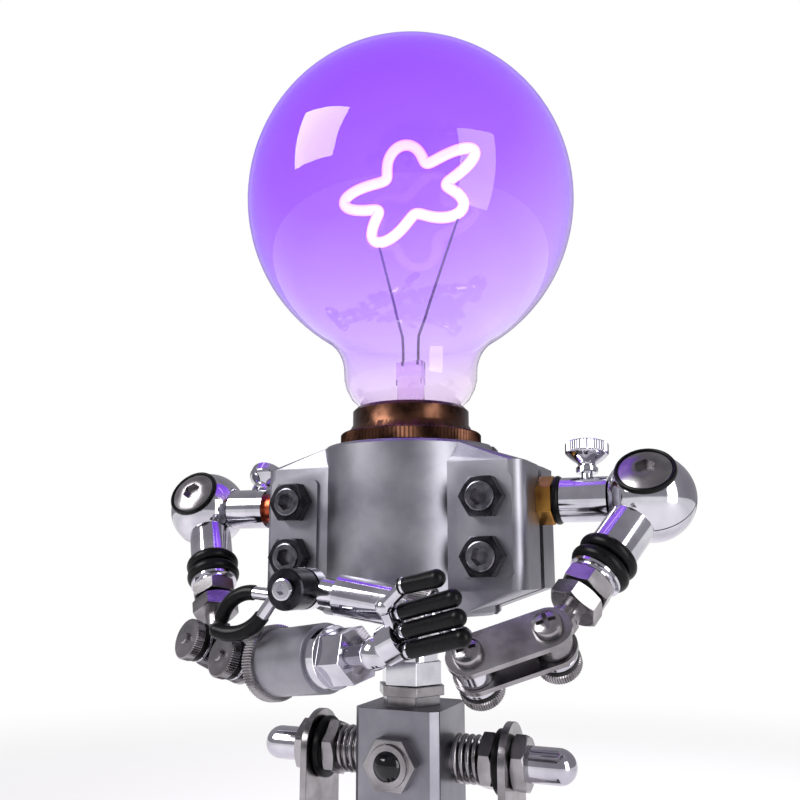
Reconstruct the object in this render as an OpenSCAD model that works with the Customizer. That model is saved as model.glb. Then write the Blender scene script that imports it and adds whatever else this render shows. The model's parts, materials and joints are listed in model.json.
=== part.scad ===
// Desk lamp shaped like a standing robot with folded arms.
// Millimetres. +Z up, the robot faces -Y, its left and right below are the viewer's.
// The origin is on the desk, midway between the feet and under the waist.

/* [Bulb] */
// Diameter of the glass globe
globe_d = 98; // [80:1:110]
// Diameter of the straight glass neck
neck_d = 39; // [34:0.5:44]
// Height of the neck above the lamp holder, up to the globe
neck_h = 18.5; // [16:0.5:30]
// Thickness of the glass
glass_t = 1.2; // [0.8:0.1:2]
// Diameter of the metal screw cap
cap_d = 26.4; // [20:0.1:26.6]
// Length of the metal screw cap
cap_h = 27; // [24:0.5:29]
// Width of the glowing loop
loop_w = 50; // [30:1:56]
// Height of the glowing loop
loop_tall = 35; // [26:1:44]
// Thickness of the glowing loop
loop_t = 3.6; // [2:0.1:5]

/* [Lamp holder] */
// Outer diameter of the holder's lip
lip_d = 33.6; // [32:0.1:36]
// Height of the lip
lip_h = 5; // [3:0.5:7]
// Bore of the holder
socket_d = 28; // [27:0.1:29]
// Outer diameter of the holder's barrel inside the chest
barrel_d = 31.4; // [30.6:0.1:31.8]
// Diameter of the knurled ring
ring_d = 40.5; // [38:0.5:44]
// Height of the knurled ring
ring_h = 4; // [3:0.25:6]

/* [Torso] */
// Diameter of the round drum in the middle of the chest
drum_d = 50; // [46:1:56]
// Height of the drum
drum_h = 45.7; // [42:0.1:52]
// Width of the chest over both ears
ear_w = 75; // [73:0.5:82]
// Depth of the chest over the two front panels
panel_depth = 36; // [33:0.5:40]
// Height of the flat panels
panel_h = 32.5; // [30:0.5:36]
// Radius of the ears' upright corners
corner_r = 4; // [2:0.5:6]
// Gap between the front and rear shells
shell_gap = 4; // [3:0.5:6]
// Wall of the drum
drum_wall = 4; // [3:0.5:5]
// Distance between the two columns of chest bolts
bolt_span_x = 55; // [53:0.5:56]
// Distance between the upper and lower chest bolts
bolt_span_z = 14.9; // [14:0.1:16]
// Thread diameter of the chest bolts
bolt_d = 6; // [4:0.5:6]
// Width across flats of the chest bolts
bolt_af = 10; // [8:0.5:10]
// Height of a chest bolt's head
bolt_head_h = 4; // [3:0.5:5]

/* [Shoulders] */
// Distance from the middle to the right shoulder ball
reach_right = 66; // [65:0.5:72]
// Bare thread that shows between the left seal and its shoulder tube
thread_show_left = 3; // [1:0.5:6]
// Diameter of the shoulder ball
ball_d = 23; // [22:0.5:25]
// Diameter of the shoulder tubes
tube_d = 11.8; // [11:0.1:12]
// Thread diameter of the shoulder studs
stud_d = 9; // [8:0.1:9.4]
// Width across flats of the stud's hexagon
stud_af = 11.4; // [10.5:0.1:13]
// Height of the stud's hexagon
stud_hex_h = 4; // [3:0.25:5]
// Thickness of the rubber seal beside the hexagon
seal_t = 2; // [1.5:0.1:2.4]
// Diameter of the round cap on the ball
cap_disc_d = 15.4; // [14:0.1:16]
// Diameter of the knurled thumb screws
thumb_d = 11.5; // [9:0.5:13]

/* [Arms] */
// How far the right arm is turned forwards, in degrees
lift_right = 40; // [36:1:44]
// How far the left arm is turned forwards, in degrees
lift_left = 30; // [27:1:33]
// How steeply both upper arms drop, in degrees
drop = 65; // [64:1:70]
// Length of the right upper arm, ball to elbow
upper_right = 48; // [46:0.5:52]
// Length of the left upper arm, ball to elbow
upper_left = 50; // [48:0.5:54]
// Turn of the left elbow about its arm, in degrees
twist_left = 25.6; // [22:0.2:30]
// Thread diameter of the rods
rod_d = 6; // [5:0.25:6.5]
// Diameter of the rubber rings on the upper arms
cushion_d = 15; // [14:0.25:16.5]
// Width across flats of the rod nuts
rod_nut_af = 11.2; // [10:0.1:12.5]
// Height of one rod nut
rod_nut_h = 4.4; // [3.5:0.1:5]
// Distance between the two pivots of an elbow link
link_l = 19; // [18:0.25:22]
// Width of an elbow link
link_w = 11; // [9:0.25:12]
// Thickness of a link plate
link_t = 1.6; // [1.2:0.1:2]
// Thickness of the eyes between the link plates
eye_t = 4.8; // [4:0.1:5.4]
// Thread diameter of the pivot screws
pivot_d = 3; // [2.5:0.1:3.4]
// Diameter of the knurled pivot nuts
knob_d = 10.8; // [9:0.1:11.5]
// Bend from the right upper arm to its link, in degrees
bend_right = 40; // [36:1:46]
// Bend from the left upper arm to its link, in degrees
bend_left = 46; // [42:1:50]

/* [Forearms] */
// Diameter of the right forearm
forearm_right_d = 10; // [8:0.25:10.5]
// Length of the right forearm's tube
forearm_right_l = 25; // [22:0.5:27]
// Diameter of the left forearm's sleeve
forearm_left_d = 16.2; // [14:0.2:16.6]
// Length of the left forearm's sleeve
forearm_left_l = 18; // [16:0.5:21]
// Diameter of the left forearm's knurled end ring
end_ring_d = 18.6; // [17:0.2:19]
// Bend from the left link to its forearm, in degrees
wrist_bend_left = 17; // [13:1:20]
// Diameter of the rubber fingers
finger_d = 3.8; // [3:0.1:4]

/* [Waist and hips] */
// Height of the hip axle above the desk
hip_z = 140; // [134:1:150]
// Width and depth of the hip block
block_w = 24; // [22:0.5:26]
// Height of the hip block above its axle
block_up = 13; // [12:0.5:16]
// Height of the hip block below its axle
block_down = 15; // [12:0.5:18]
// Height of the open waist between the hip block and the chest
waist_h = 24; // [22:0.5:28]
// Diameter of the waist stem
stem_d = 17.4; // [15:0.2:19]
// Width across flats of the two waist nuts
waist_nut_af = 16.6; // [15:0.2:19]
// Diameter of the hip axle
axle_d = 8; // [6:0.25:8.5]
// Width across flats of the hip nuts
hip_nut_af = 13; // [12:0.25:14]
// Diameter of the spring's wire
wire_d = 1.3; // [1:0.05:1.4]
// Mean diameter of the spring's coils
coil_d = 11.2; // [10.4:0.1:12]
// Curls in each spring
curls = 3; // [2:1:3]
// Length of each spring
spring_l = 8.5; // [8.4:0.1:10]
// Diameter of the rubber discs at the hips
disc_d = 16.4; // [15:0.2:18]

/* [Switch and cable inlet] */
// Width across flats of the switch's nut
switch_af = 12.6; // [11.5:0.1:14]
// Diameter of the push button
button_d = 7.2; // [6:0.1:7.6]
// Travel of the push button
button_travel = 1.5; // [1:0.1:1.5]
// Diameter of the hole for the cable
cable_hole_d = 5.2; // [4:0.1:6]

/* [Legs] */
// Width of the flat thigh straps
strap_w = 20; // [18:0.5:22]
// Thickness of the thigh straps
strap_t = 2; // [1.5:0.1:2.6]
// Length of the thighs, hip axle to knee
thigh_l = 62; // [56:1:66]
// Diameter of the shin tubes
shin_d = 10; // [9:0.25:12]
// Thread diameter of the knee and ankle bolts
knee_d = 6; // [5:0.25:6.5]
// Height of the ankle above the desk
ankle_z = 21; // [20:0.5:24]
// Reach of the toes in front of the lamp's upright axis
toe_reach = 60; // [56:0.5:66]
// Reach of the heels behind that axis
heel_reach = 24; // [20:0.5:34]
// Width of a foot
foot_w = 26; // [23:0.5:27]
// Thickness of a foot's sole
sole_h = 11; // [9:0.5:12]

/* [Hidden] */
$fn = 64;

// Clearances
run = 0.05;       // running fit between a shaft and its bore, on the radius
seat = 0.2;       // air between two faces that pass each other
clear = 0.35;     // air between curved faces on different bodies
eps = 0.01;

// Heights of the stack, from the desk up
block_top = hip_z + block_up;
drum_z0 = block_top + waist_h;
drum_top = drum_z0 + drum_h;
ring_z = drum_top + 0.3;
flare_z = ring_z + ring_h;
flare_h = 2.5;
lip_z = flare_z + flare_h;
holder_top = lip_z + lip_h;
holder_floor = holder_top - cap_h - 4;
globe_r = globe_d / 2;
neck_r = neck_d / 2;
globe_z = holder_top + neck_h + sqrt(globe_r * globe_r - neck_r * neck_r);
cap_z = holder_floor + 3 + eps;
cap_r = cap_d / 2;

// The upright axis stands behind the origin, so that toes and globe reach equally far
axis_y = (toe_reach - globe_r) / 2;

// Torso
drum_r = drum_d / 2;
panel_y = panel_depth / 2;
panel_z0 = drum_z0 + (drum_h - panel_h) / 2 + 0.4;
shoulder_z = drum_z0 + 30;
bolt_x = bolt_span_x / 2;
bolt_zs = [shoulder_z, shoulder_z - bolt_span_z];
pad_h = 0.8;
pad_w = 14.5;
pad_margin = 3;
core_x = drum_r * 0.72;
core_y = panel_y - 3;
stud_bore_r = stud_d / 2 + run;
hex_x = ear_w / 2;
seal_x = hex_x + stud_hex_h;
stud_x0 = bolt_x + bolt_d / 2 + 1;
spacer_inset = 1.6;

// Shoulder balls
ball_r = ball_d / 2;
seam = 0.15;
carve_r = ball_r + clear;
cap_y = ball_r - 2.7;
cap_screw_r = 2;
stud_end_gap = 2.6;
thumb_share = 0.59;     // the thumb screw's place along the bare part of its tube

// ---------- vector helpers ----------
function unit(v) = v / norm(v);
function turned(v, axis, a) =
    v * cos(a) + cross(axis, v) * sin(a) + axis * (axis * v) * (1 - cos(a));
function reach(side) = reach_right + (side > 0 ? 0 : thread_show_left);
function stud_l(side) = reach(side) - carve_r - stud_end_gap - stud_x0;
function tube_x0(side) = seal_x + seal_t + 0.1 + (side > 0 ? 0 : thread_show_left);
function lift(side) = side > 0 ? lift_right : lift_left;
function ball(side) = [side * reach(side), 0, shoulder_z];
function arm_dir(side) =
    [-side * cos(drop), -sin(drop) * sin(lift(side)), -sin(drop) * cos(lift(side))];
function rear_dir(side) = [0, cos(lift(side)), -sin(lift(side))];
function upper(side) = side > 0 ? upper_right : upper_left;
function elbow(side) = ball(side) + upper(side) * arm_dir(side);

// nut side of each elbow's pivots
nuts_right = rear_dir(1);
nuts_left = turned(-rear_dir(-1), arm_dir(-1), twist_left);
function nut_dir(side) = side > 0 ? nuts_right : nuts_left;

// elbow links, and the second pivot at their far end
link_dir_right = turned(arm_dir(1), nuts_right, bend_right);
link_dir_left = turned(arm_dir(-1), nuts_left, bend_left);
function link_dir(side) = side > 0 ? link_dir_right : link_dir_left;
function second_pivot(side) = elbow(side) + link_l * link_dir(side);

// forearms
forearm_base_right = second_pivot(1) + [-8.5, -1.9, 11.5];
forearm_dir_right = unit([-35, 0, 5.4]);
knuckle_right = second_pivot(1) + 8.4 * unit([-0.5, 0.557, 0.663]);
wrist_gap = 9.6;
wrist_point_right =
    forearm_base_right + (forearm_right_l + wrist_gap) * forearm_dir_right;
forearm_dir_left = turned(link_dir_left, nuts_left, wrist_bend_left);
eye_clear = link_w / 2 + 0.8;
ring_start = 7.4;
end_ring_h = 3.6;
sleeve_start = ring_start + end_ring_h;
nut_start = sleeve_start + forearm_left_l;
collar_h = 3.4;
hex_h = 7.6;
ball_stud = 5.4;
hand_ball_r = 3.7;
wrist_reach = nut_start + collar_h + hex_h + ball_stud;
wrist_point_left = second_pivot(-1) + wrist_reach * forearm_dir_left;

// ---------- placing helpers ----------
// every piece is drawn about the lamp's upright axis and then set down in the frame
module at_axis() { translate([0, axis_y, 0]) children(); }

// local +Y along y, local +Z along z, for two unit vectors at right angles
module frame(at, y, z) {
    x = cross(y, z);
    multmatrix([
        [x[0], y[0], z[0], at[0]],
        [x[1], y[1], z[1], at[1]],
        [x[2], y[2], z[2], at[2]],
        [0, 0, 0, 1]
    ]) children();
}

// local +Z along dir, turned to an even place round it
module aim(at, dir) {
    z = unit(dir);
    side = abs(z[1]) < 0.9 ? [0, 1, 0] : [1, 0, 0];
    y = unit(side - (side * z) * z);
    frame(at, y, z) children();
}

// what is drawn along Z lies along Y instead
module along_y() { rotate([-90, 0, 0]) children(); }

// what is drawn along Z lies along X instead
module along_x() { rotate([0, 90, 0]) children(); }

module hex(af, h) { cylinder(d = af / cos(30), h = h, $fn = 6); }

module pipe(od, id, h) {
    difference() {
        cylinder(d = od, h = h);
        translate([0, 0, -1]) cylinder(d = id, h = h + 2);
    }
}

module hex_ring(af, id, h) {
    difference() {
        hex(af, h);
        translate([0, 0, -1]) cylinder(d = id, h = h + 2);
    }
}

module torus(mean_r, wire_r) {
    rotate_extrude() translate([mean_r, 0]) circle(r = wire_r, $fn = 32);
}

module bar_between(p, q, r) {
    aim(p, q - p) cylinder(r = r, h = norm(q - p), $fn = 40);
}

// flat bar with round ends, from the frame's origin along Z, its thickness along Y
module strap(l, w, t, y0) {
    translate([0, y0, 0]) {
        along_y() cylinder(d = w, h = t);
        translate([-w / 2, 0, 0]) cube([w, t, l]);
        translate([0, 0, l]) along_y() cylinder(d = w, h = t);
    }
}

// ---------- bulb and holder ----------
// throat inside the cap, flare above the holder's lip, then the straight neck
module neck_form(inset) {
    r = neck_r - inset;
    flare = 9;
    z0 = holder_top + seat;
    throat_r = cap_r - 2 - run - inset;
    throat_l = 9;
    translate([0, 0, z0 - throat_l]) cylinder(r = throat_r, h = throat_l + eps);
    translate([0, 0, z0]) cylinder(r1 = max(r * 0.74, throat_r), r2 = r, h = flare);
    translate([0, 0, z0 + flare - eps]) cylinder(r = r, h = globe_z - z0 - flare);
}

module bulb_glass() {
    at_axis() color([0.85, 0.8, 0.95, 0.35])
        difference() {
            union() {
                translate([0, 0, globe_z]) sphere(r = globe_r, $fn = 96);
                neck_form(0);
            }
            translate([0, 0, globe_z]) sphere(r = globe_r - glass_t, $fn = 96);
            neck_form(glass_t);
        }
}

module bulb_cap() {
    threads = 5;
    pitch = (cap_h - 11) / threads;
    at_axis() color("silver") {
        difference() {
            union() {
                translate([0, 0, cap_z + 6]) cylinder(r = cap_r - 0.8, h = cap_h - 7 - eps);
                for (i = [0:threads - 1])
                    translate([0, 0, cap_z + 8.5 + pitch * i])
                        torus(cap_r - 1.05, 1.05);
                translate([0, 0, cap_z + 2]) cylinder(r1 = 6, r2 = cap_r - 0.8, h = 4 + eps);
                translate([0, 0, cap_z]) cylinder(r = 4.5, h = 3);
            }
            translate([0, 0, cap_z + 7]) cylinder(r = cap_r - 2, h = cap_h);
        }
    }
}

stem_z0 = holder_top + seat - 9;
press_z = holder_top + neck_h * 0.5;
press_top = press_z + 5;

module glass_stem() {
    foot_r = cap_r - 2 - run - glass_t - run;
    at_axis() color([0.85, 0.85, 0.95, 0.5]) {
        translate([0, 0, stem_z0]) cylinder(r = foot_r, h = 2);
        translate([0, 0, stem_z0 + 2 - eps]) cylinder(r1 = foot_r * 0.7, r2 = 4, h = 7);
        translate([0, 0, stem_z0 + 8]) cylinder(r = 4, h = press_z - stem_z0 - 8);
        translate([-4, -1.6, press_z - 2]) cube([8, 3.2, press_top - press_z + 2]);
    }
}

// A soft five-petal flower bent from one glowing tube, on two support wires
petals = 5;
loop_tilt = 12;
loop_n = 90;
loop_sides = 10;
loop_z = globe_z + 5;
function loop_point(a) =
    let (wave = 0.76 + 0.24 * cos(petals * a),
        x = (loop_w - loop_t) / 2 * wave * sin(a), z = (loop_tall - loop_t) / 2 * wave * cos(a))
    [x * cos(loop_tilt) - z * sin(loop_tilt), 0, loop_z + x * sin(loop_tilt) + z * cos(loop_tilt)];
function loop_ring(i) =
    let (a = 360 * i / loop_n, t = unit(loop_point(a + 1) - loop_point(a - 1)), out = cross(t, [0, 1, 0]))
    [for (k = [0:loop_sides - 1])
        let (w = 360 * k / loop_sides)
        loop_point(a) + loop_t / 2 * (out * cos(w) + [0, sin(w), 0])];
loop_points = [for (i = [0:loop_n - 1]) each loop_ring(i)];
loop_faces = [
    for (i = [0:loop_n - 1], k = [0:loop_sides - 1])
        let (j = (i + 1) % loop_n, m = (k + 1) % loop_sides,
            a = i * loop_sides + k, b = i * loop_sides + m,
            c = j * loop_sides + m, d = j * loop_sides + k)
        each [[a, b, c], [a, c, d]]
];
wire_r = 0.5;
wire_turn = 180 / petals * (petals - 1);

module filament() {
    at_axis() color([1, 0.9, 1]) polyhedron(loop_points, loop_faces);
    // the wires rise from the press to the two lowest petals
    for (s = [-1, 1])
        at_axis() color("gray") {
            foot = [s * 2.4, 0, press_top];
            bend = foot + [0, 0, 2];
            bar_between(foot, bend, wire_r);
            translate(bend) sphere(r = wire_r, $fn = 16);
            bar_between(bend, loop_point(s * wire_turn), wire_r);
        }
}

module lamp_holder() {
    at_axis() color([0.33, 0.2, 0.12])
        difference() {
            union() {
                translate([0, 0, holder_floor]) cylinder(d = barrel_d, h = flare_z - holder_floor + eps);
                translate([0, 0, flare_z]) cylinder(d1 = lip_d + 3, d2 = lip_d, h = flare_h);
                translate([0, 0, lip_z - eps]) cylinder(d = lip_d, h = lip_h - 1);
                translate([0, 0, holder_top - 1 - 2 * eps]) cylinder(d1 = lip_d, d2 = lip_d - 2, h = 1 + 2 * eps);
            }
            translate([0, 0, holder_floor + 3]) cylinder(d = socket_d, h = 60);
        }
}

module holder_ring() {
    notches = 40;
    notch_r = 0.5;
    at_axis() color([0.4, 0.25, 0.12])
        translate([0, 0, ring_z])
            difference() {
                cylinder(d = ring_d, h = ring_h);
                translate([0, 0, -1]) cylinder(d = barrel_d + 2 * run, h = ring_h + 2);
                for (i = [0:notches - 1])
                    rotate([0, 0, 360 * i / notches])
                        translate([ring_d / 2 + notch_r * 0.3, 0, -1])
                            cylinder(r = notch_r, h = ring_h + 2, $fn = 16);
            }
}

// ---------- torso ----------
// The chest's outer form: a drum between two ears with sloping roofs.
// inset draws the same form smaller all round, for the spacers in the gap.
module chest_form(inset = 0) {
    chamfer = 0.8;
    z0 = drum_z0 + inset;
    z1 = drum_top - inset;
    r = drum_r - inset;
    translate([0, 0, z0 + chamfer]) cylinder(r = r, h = z1 - z0 - 2 * chamfer);
    translate([0, 0, z0]) cylinder(r1 = r - chamfer, r2 = r, h = chamfer + eps);
    translate([0, 0, z1 - chamfer - eps]) cylinder(r1 = r, r2 = r - chamfer, h = chamfer + eps);
    hull() {
        for (x = [-1, 1], y = [-1, 1])
            translate([x * (ear_w / 2 - corner_r), y * (panel_y - corner_r), panel_z0 + inset])
                cylinder(r = corner_r - min(inset, corner_r / 2), h = panel_h - 2 * inset, $fn = 32);
        translate([-core_x, -core_y + inset, z0])
            cube([2 * core_x, 2 * (core_y - inset), z1 - z0]);
    }
}

module chest_pads() {
    inner = bolt_x - pad_w / 2;
    z0 = panel_z0 + pad_margin;
    h = panel_h - 2 * pad_margin;
    for (s = [-1, 1])
        translate([s * bolt_x, 0, z0 + h / 2])
            along_y() linear_extrude(panel_y + pad_h)
                for (x = [-1, 1], z = [-1, 1])
                    offset_corner(x, z, h);
}

// one quarter of a pad's rounded outline
module offset_corner(x, z, h) {
    r = 2;
    translate([x * (pad_w / 2 - r), z * (h / 2 - r)]) circle(r = r, $fn = 32);
    translate([x > 0 ? 0 : -pad_w / 2, z > 0 ? 0 : -h / 2 + r]) square([pad_w / 2, h / 2 - r]);
    translate([x > 0 ? 0 : -pad_w / 2 + r, z > 0 ? 0 : -h / 2]) square([pad_w / 2 - r, h / 2]);
}

module chest_bores() {
    // holder, wiring space, waist stem, chest bolts and shoulder studs
    translate([0, 0, holder_floor - 1]) cylinder(d = barrel_d + 2 * run, h = 80);
    translate([0, 0, drum_z0 + drum_wall]) cylinder(r = drum_r - drum_wall, h = drum_h - 2 * drum_wall);
    translate([0, 0, drum_z0 - 1]) cylinder(d = stem_pin_d + 2 * run, h = 20);
    for (s = [-1, 1], z = bolt_zs)
        translate([s * bolt_x, -40, z]) along_y() cylinder(d = bolt_d + 2 * run, h = 80);
    for (s = [-1, 1])
        translate([s > 0 ? stud_x0 : -stud_x0 - 20, 0, shoulder_z]) along_x()
            cylinder(r = stud_bore_r, h = 20);
}

// side -1 is the front shell and 1 the rear one
module shell(side) {
    difference() {
        union() {
            chest_form();
            rotate([0, 0, side < 0 ? 180 : 0]) chest_pads();
        }
        translate([-60, side < 0 ? -shell_gap / 2 : shell_gap / 2 - 60, 0]) cube([120, 60, 400]);
        chest_bores();
    }
}

module front_shell() { at_axis() color([0.62, 0.62, 0.64]) shell(-1); }

module rear_shell() { at_axis() color([0.62, 0.62, 0.64]) shell(1); }

module chest_spacers() {
    at_axis() color([0.15, 0.15, 0.16])
        difference() {
            intersection() {
                chest_form(spacer_inset);
                translate([-60, -shell_gap / 2, 0]) cube([120, shell_gap, 400]);
            }
            chest_bores();
            translate([-drum_r + drum_wall, -10, drum_z0 - 1])
                cube([2 * (drum_r - drum_wall), 20, drum_h + 2]);
        }
}

// socket bolts from the front, each with a nut behind
module chest_bolts() {
    face = panel_y + pad_h;
    socket_af = 3.6;
    at_axis() color([0.1, 0.1, 0.11])
        for (s = [-1, 1], z = bolt_zs)
            translate([s * bolt_x, 0, z]) {
                difference() {
                    union() {
                        translate([0, -face - 1, 0]) along_y() cylinder(d = bolt_d, h = 2 * face + 1 + bolt_head_h);
                        translate([0, -face - bolt_head_h, 0]) along_y() hex(bolt_af, bolt_head_h);
                        translate([0, -face - bolt_head_h - 0.6, 0]) along_y()
                            cylinder(d = bolt_af * 0.78, h = 1);
                    }
                    translate([0, -face - bolt_head_h - 1, 0]) along_y() hex(socket_af, 3);
                }
                translate([0, face, 0]) along_y() hex_ring(bolt_af, bolt_d, bolt_head_h);
            }
}

module shoulder_studs() {
    at_axis() color([0.72, 0.5, 0.25])
        for (s = [-1, 1])
            mirror([s < 0 ? 1 : 0, 0, 0])
                translate([0, 0, shoulder_z]) {
                    translate([stud_x0, 0, 0]) along_x() cylinder(d = stud_d, h = stud_l(s));
                    translate([hex_x, 0, 0]) along_x() hex(stud_af, stud_hex_h);
                }
}

module shoulder_seals() {
    at_axis() color([0.05, 0.05, 0.05])
        for (s = [-1, 1])
            translate([s * (seal_x + seal_t / 2), 0, shoulder_z]) along_x()
                torus(stud_d / 2 + seal_t / 2, seal_t / 2 - eps);
}

// ---------- waist ----------
stem_pin_d = 7.6;
waist_nut_h = 2.6;
nuts_top = block_top + 2 * waist_nut_h;
pin_z = hip_z + axle_d / 2 + 1.6;

module waist_stem() {
    waist_hex_h = 6;
    flange_h = 3;
    at_axis() color("silver") {
        translate([0, 0, pin_z]) cylinder(d = stem_pin_d, h = drum_z0 + drum_wall + 3 - pin_z);
        translate([0, 0, nuts_top + seat]) hex(stem_d * cos(30), waist_hex_h);
        translate([0, 0, nuts_top + seat + waist_hex_h - eps])
            cylinder(d = stem_d * 0.84, h = drum_z0 - nuts_top - seat - waist_hex_h - flange_h + 2 * eps);
        translate([0, 0, drum_z0 - flange_h]) cylinder(d = stem_d, h = flange_h);
        translate([0, 0, drum_z0 + drum_wall]) hex(12, 3);
    }
}

module waist_nuts() {
    at_axis() color("gray") {
        translate([0, 0, block_top]) hex_ring(waist_nut_af * 0.87, stem_pin_d + 2 * run, waist_nut_h);
        translate([0, 0, block_top + waist_nut_h])
            hex_ring(waist_nut_af, stem_pin_d + 2 * run, waist_nut_h);
    }
}

// ---------- shoulders ----------
// The socket: a tube on the chest's stud, ending in the rear half of the ball
module shoulder_socket(side) {
    length = reach(side) - tube_x0(side);
    bore_l = stud_x0 + stud_l(side) + 1;
    at_axis() color("silver")
        difference() {
            union() {
                translate([side > 0 ? tube_x0(side) : -reach(side), 0, shoulder_z])
                    along_x() cylinder(d = tube_d, h = length);
                frame(ball(side), rear_dir(side), arm_dir(side)) rear_half(ball_r);
            }
            frame(ball(side), rear_dir(side), arm_dir(side)) {
                front_half(carve_r);
                translate([0, -ball_r, 0]) along_y() cylinder(r = cap_screw_r + run, h = 2 * ball_r);
            }
            translate([side > 0 ? 0 : -bore_l, 0, shoulder_z])
                along_x() cylinder(r = stud_d / 2 + run, h = bore_l);
            thumb_frame(side) cylinder(r = thumb_shank_r + run, h = 20);
        }
}

module rear_half(r) {
    intersection() {
        sphere(r = r);
        translate([-r - 1, seam, -r - 1]) cube(2 * r + 2);
    }
}

module front_half(r) {
    intersection() {
        sphere(r = r);
        translate([-r - 1, -2 * r - 2 + seam, -r - 1]) cube(2 * r + 2);
    }
}

thumb_shank_r = 1.5;
thumb_tilt_right = 10;
thumb_tilt_left = 40;

module thumb_frame(side) {
    tilt = side > 0 ? thumb_tilt_right : thumb_tilt_left;
    x = tube_x0(side) + thumb_share * (reach(side) - ball_r - tube_x0(side));
    translate([side * x, 0, shoulder_z]) rotate([-tilt, 0, 0]) children();
}

module thumb_screw(side) {
    z0 = tube_d / 2 + 1.2;
    at_axis() color("silver")
        thumb_frame(side) {
            translate([0, 0, stud_d / 2 + seat]) cylinder(r = thumb_shank_r, h = z0 - stud_d / 2);
            translate([0, 0, z0]) cylinder(r = 2.5, h = 2.4);
            translate([0, 0, z0 + 2.4 - eps]) cylinder(r1 = 2.5, r2 = thumb_d / 2 - 0.2, h = 2.8);
            translate([0, 0, z0 + 5.2 - 2 * eps]) cylinder(d = thumb_d, h = 3);
        }
}

cup_l = 22;
cushion_t = 3.6;
cushion_gap = 0.3;
cushion_z = cup_l - 2;
washer_z = cushion_z + 2 * cushion_t + cushion_gap + 0.1;
washer_h = 2;
nut_z = washer_z + washer_h + 0.05;

module arm_frame(side) { frame(ball(side), rear_dir(side), arm_dir(side)) children(); }

// The cup: the front half of the ball with the upper arm's tube
module swivel_cup(side) {
    at_axis() color("silver")
        arm_frame(side)
            difference() {
                union() {
                    mirror([0, 1, 0]) rear_half(ball_r);
                    cylinder(d = tube_d + 0.4, h = cup_l);
                }
                mirror([0, 1, 0]) front_half(carve_r);
                translate([-ball_r, -ball_r - 1, -ball_r]) cube([2 * ball_r, ball_r + 1 - cap_y, 2 * ball_r]);
                translate([0, -ball_r, 0]) along_y() cylinder(r = cap_screw_r + run, h = 2 * ball_r);
                translate([0, 0, carve_r - 3]) cylinder(d = rod_d + 2 * run, h = cup_l);
            }
}

module swivel_cap(side) {
    at_axis() color([0.7, 0.7, 0.72])
        arm_frame(side)
            difference() {
                union() {
                    translate([0, -cap_y - 2.2, 0]) along_y() cylinder(d = cap_disc_d, h = 2.2 - eps);
                    translate([0, -cap_y - eps, 0]) along_y() cylinder(r = cap_screw_r, h = cap_y + 7);
                }
                translate([0, -cap_y - 3, 0]) along_y() hex(4, 2.4);
            }
}

module arm_cushions(side) {
    at_axis() color([0.04, 0.04, 0.04])
        arm_frame(side)
            for (i = [0, 1])
                translate([0, 0, cushion_z + i * (cushion_t + cushion_gap) + cushion_t / 2])
                    difference() {
                        union() {
                            torus(cushion_d / 2 - cushion_t / 2, cushion_t / 2);
                            cylinder(d = cushion_d - cushion_t, h = cushion_t, center = true);
                        }
                        cylinder(d = rod_d + 2 * run, h = 20, center = true);
                        if (i == 0) translate([0, 0, -cushion_t / 2 - 1])
                            cylinder(d = tube_d + 0.4 + 2 * run, h = cup_l - cushion_z + 1.05);
                    }
}

// a flanged washer, then two jam nuts
module arm_nuts(side) {
    at_axis() color([0.6, 0.6, 0.62])
        arm_frame(side) {
            translate([0, 0, washer_z]) pipe(rod_nut_af * 1.16, rod_d + 2 * run, washer_h);
            for (i = [0, 1])
                translate([0, 0, nut_z + i * (rod_nut_h + 0.6)])
                    rotate([0, 0, 14 * i]) hex_ring(rod_nut_af, rod_d + 2 * run, rod_nut_h);
        }
}

module eye_disc() {
    translate([0, -eye_t / 2, 0]) along_y() cylinder(d = link_w - 1.6, h = eye_t);
}

module eye_bore() {
    translate([0, -eye_t, 0]) along_y() cylinder(d = pivot_d + 2 * run, h = 2 * eye_t);
}

module arm_rod(side) {
    z0 = carve_r + 2;
    rod_l = upper(side) - eye_clear - z0;
    at_axis() color([0.55, 0.55, 0.57]) {
        arm_frame(side) translate([0, 0, z0]) cylinder(d = rod_d, h = rod_l);
        frame(elbow(side), nut_dir(side), arm_dir(side))
            difference() {
                union() {
                    eye_disc();
                    translate([-2.8, -eye_t / 2, -eye_clear - 0.5])
                        cube([5.6, eye_t, eye_clear]);
                }
                eye_bore();
            }
    }
}

// ---------- elbow links ----------
plate_y = eye_t / 2 + seat;

module link_plates(side) {
    at_axis() color([0.7, 0.7, 0.72])
        frame(elbow(side), nut_dir(side), link_dir(side))
            difference() {
                for (y = [plate_y, -plate_y - link_t]) strap(link_l, link_w, link_t, y);
                for (z = [0, link_l])
                    translate([0, -20, z]) along_y() cylinder(d = pivot_d + 2 * run, h = 40);
            }
}

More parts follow.
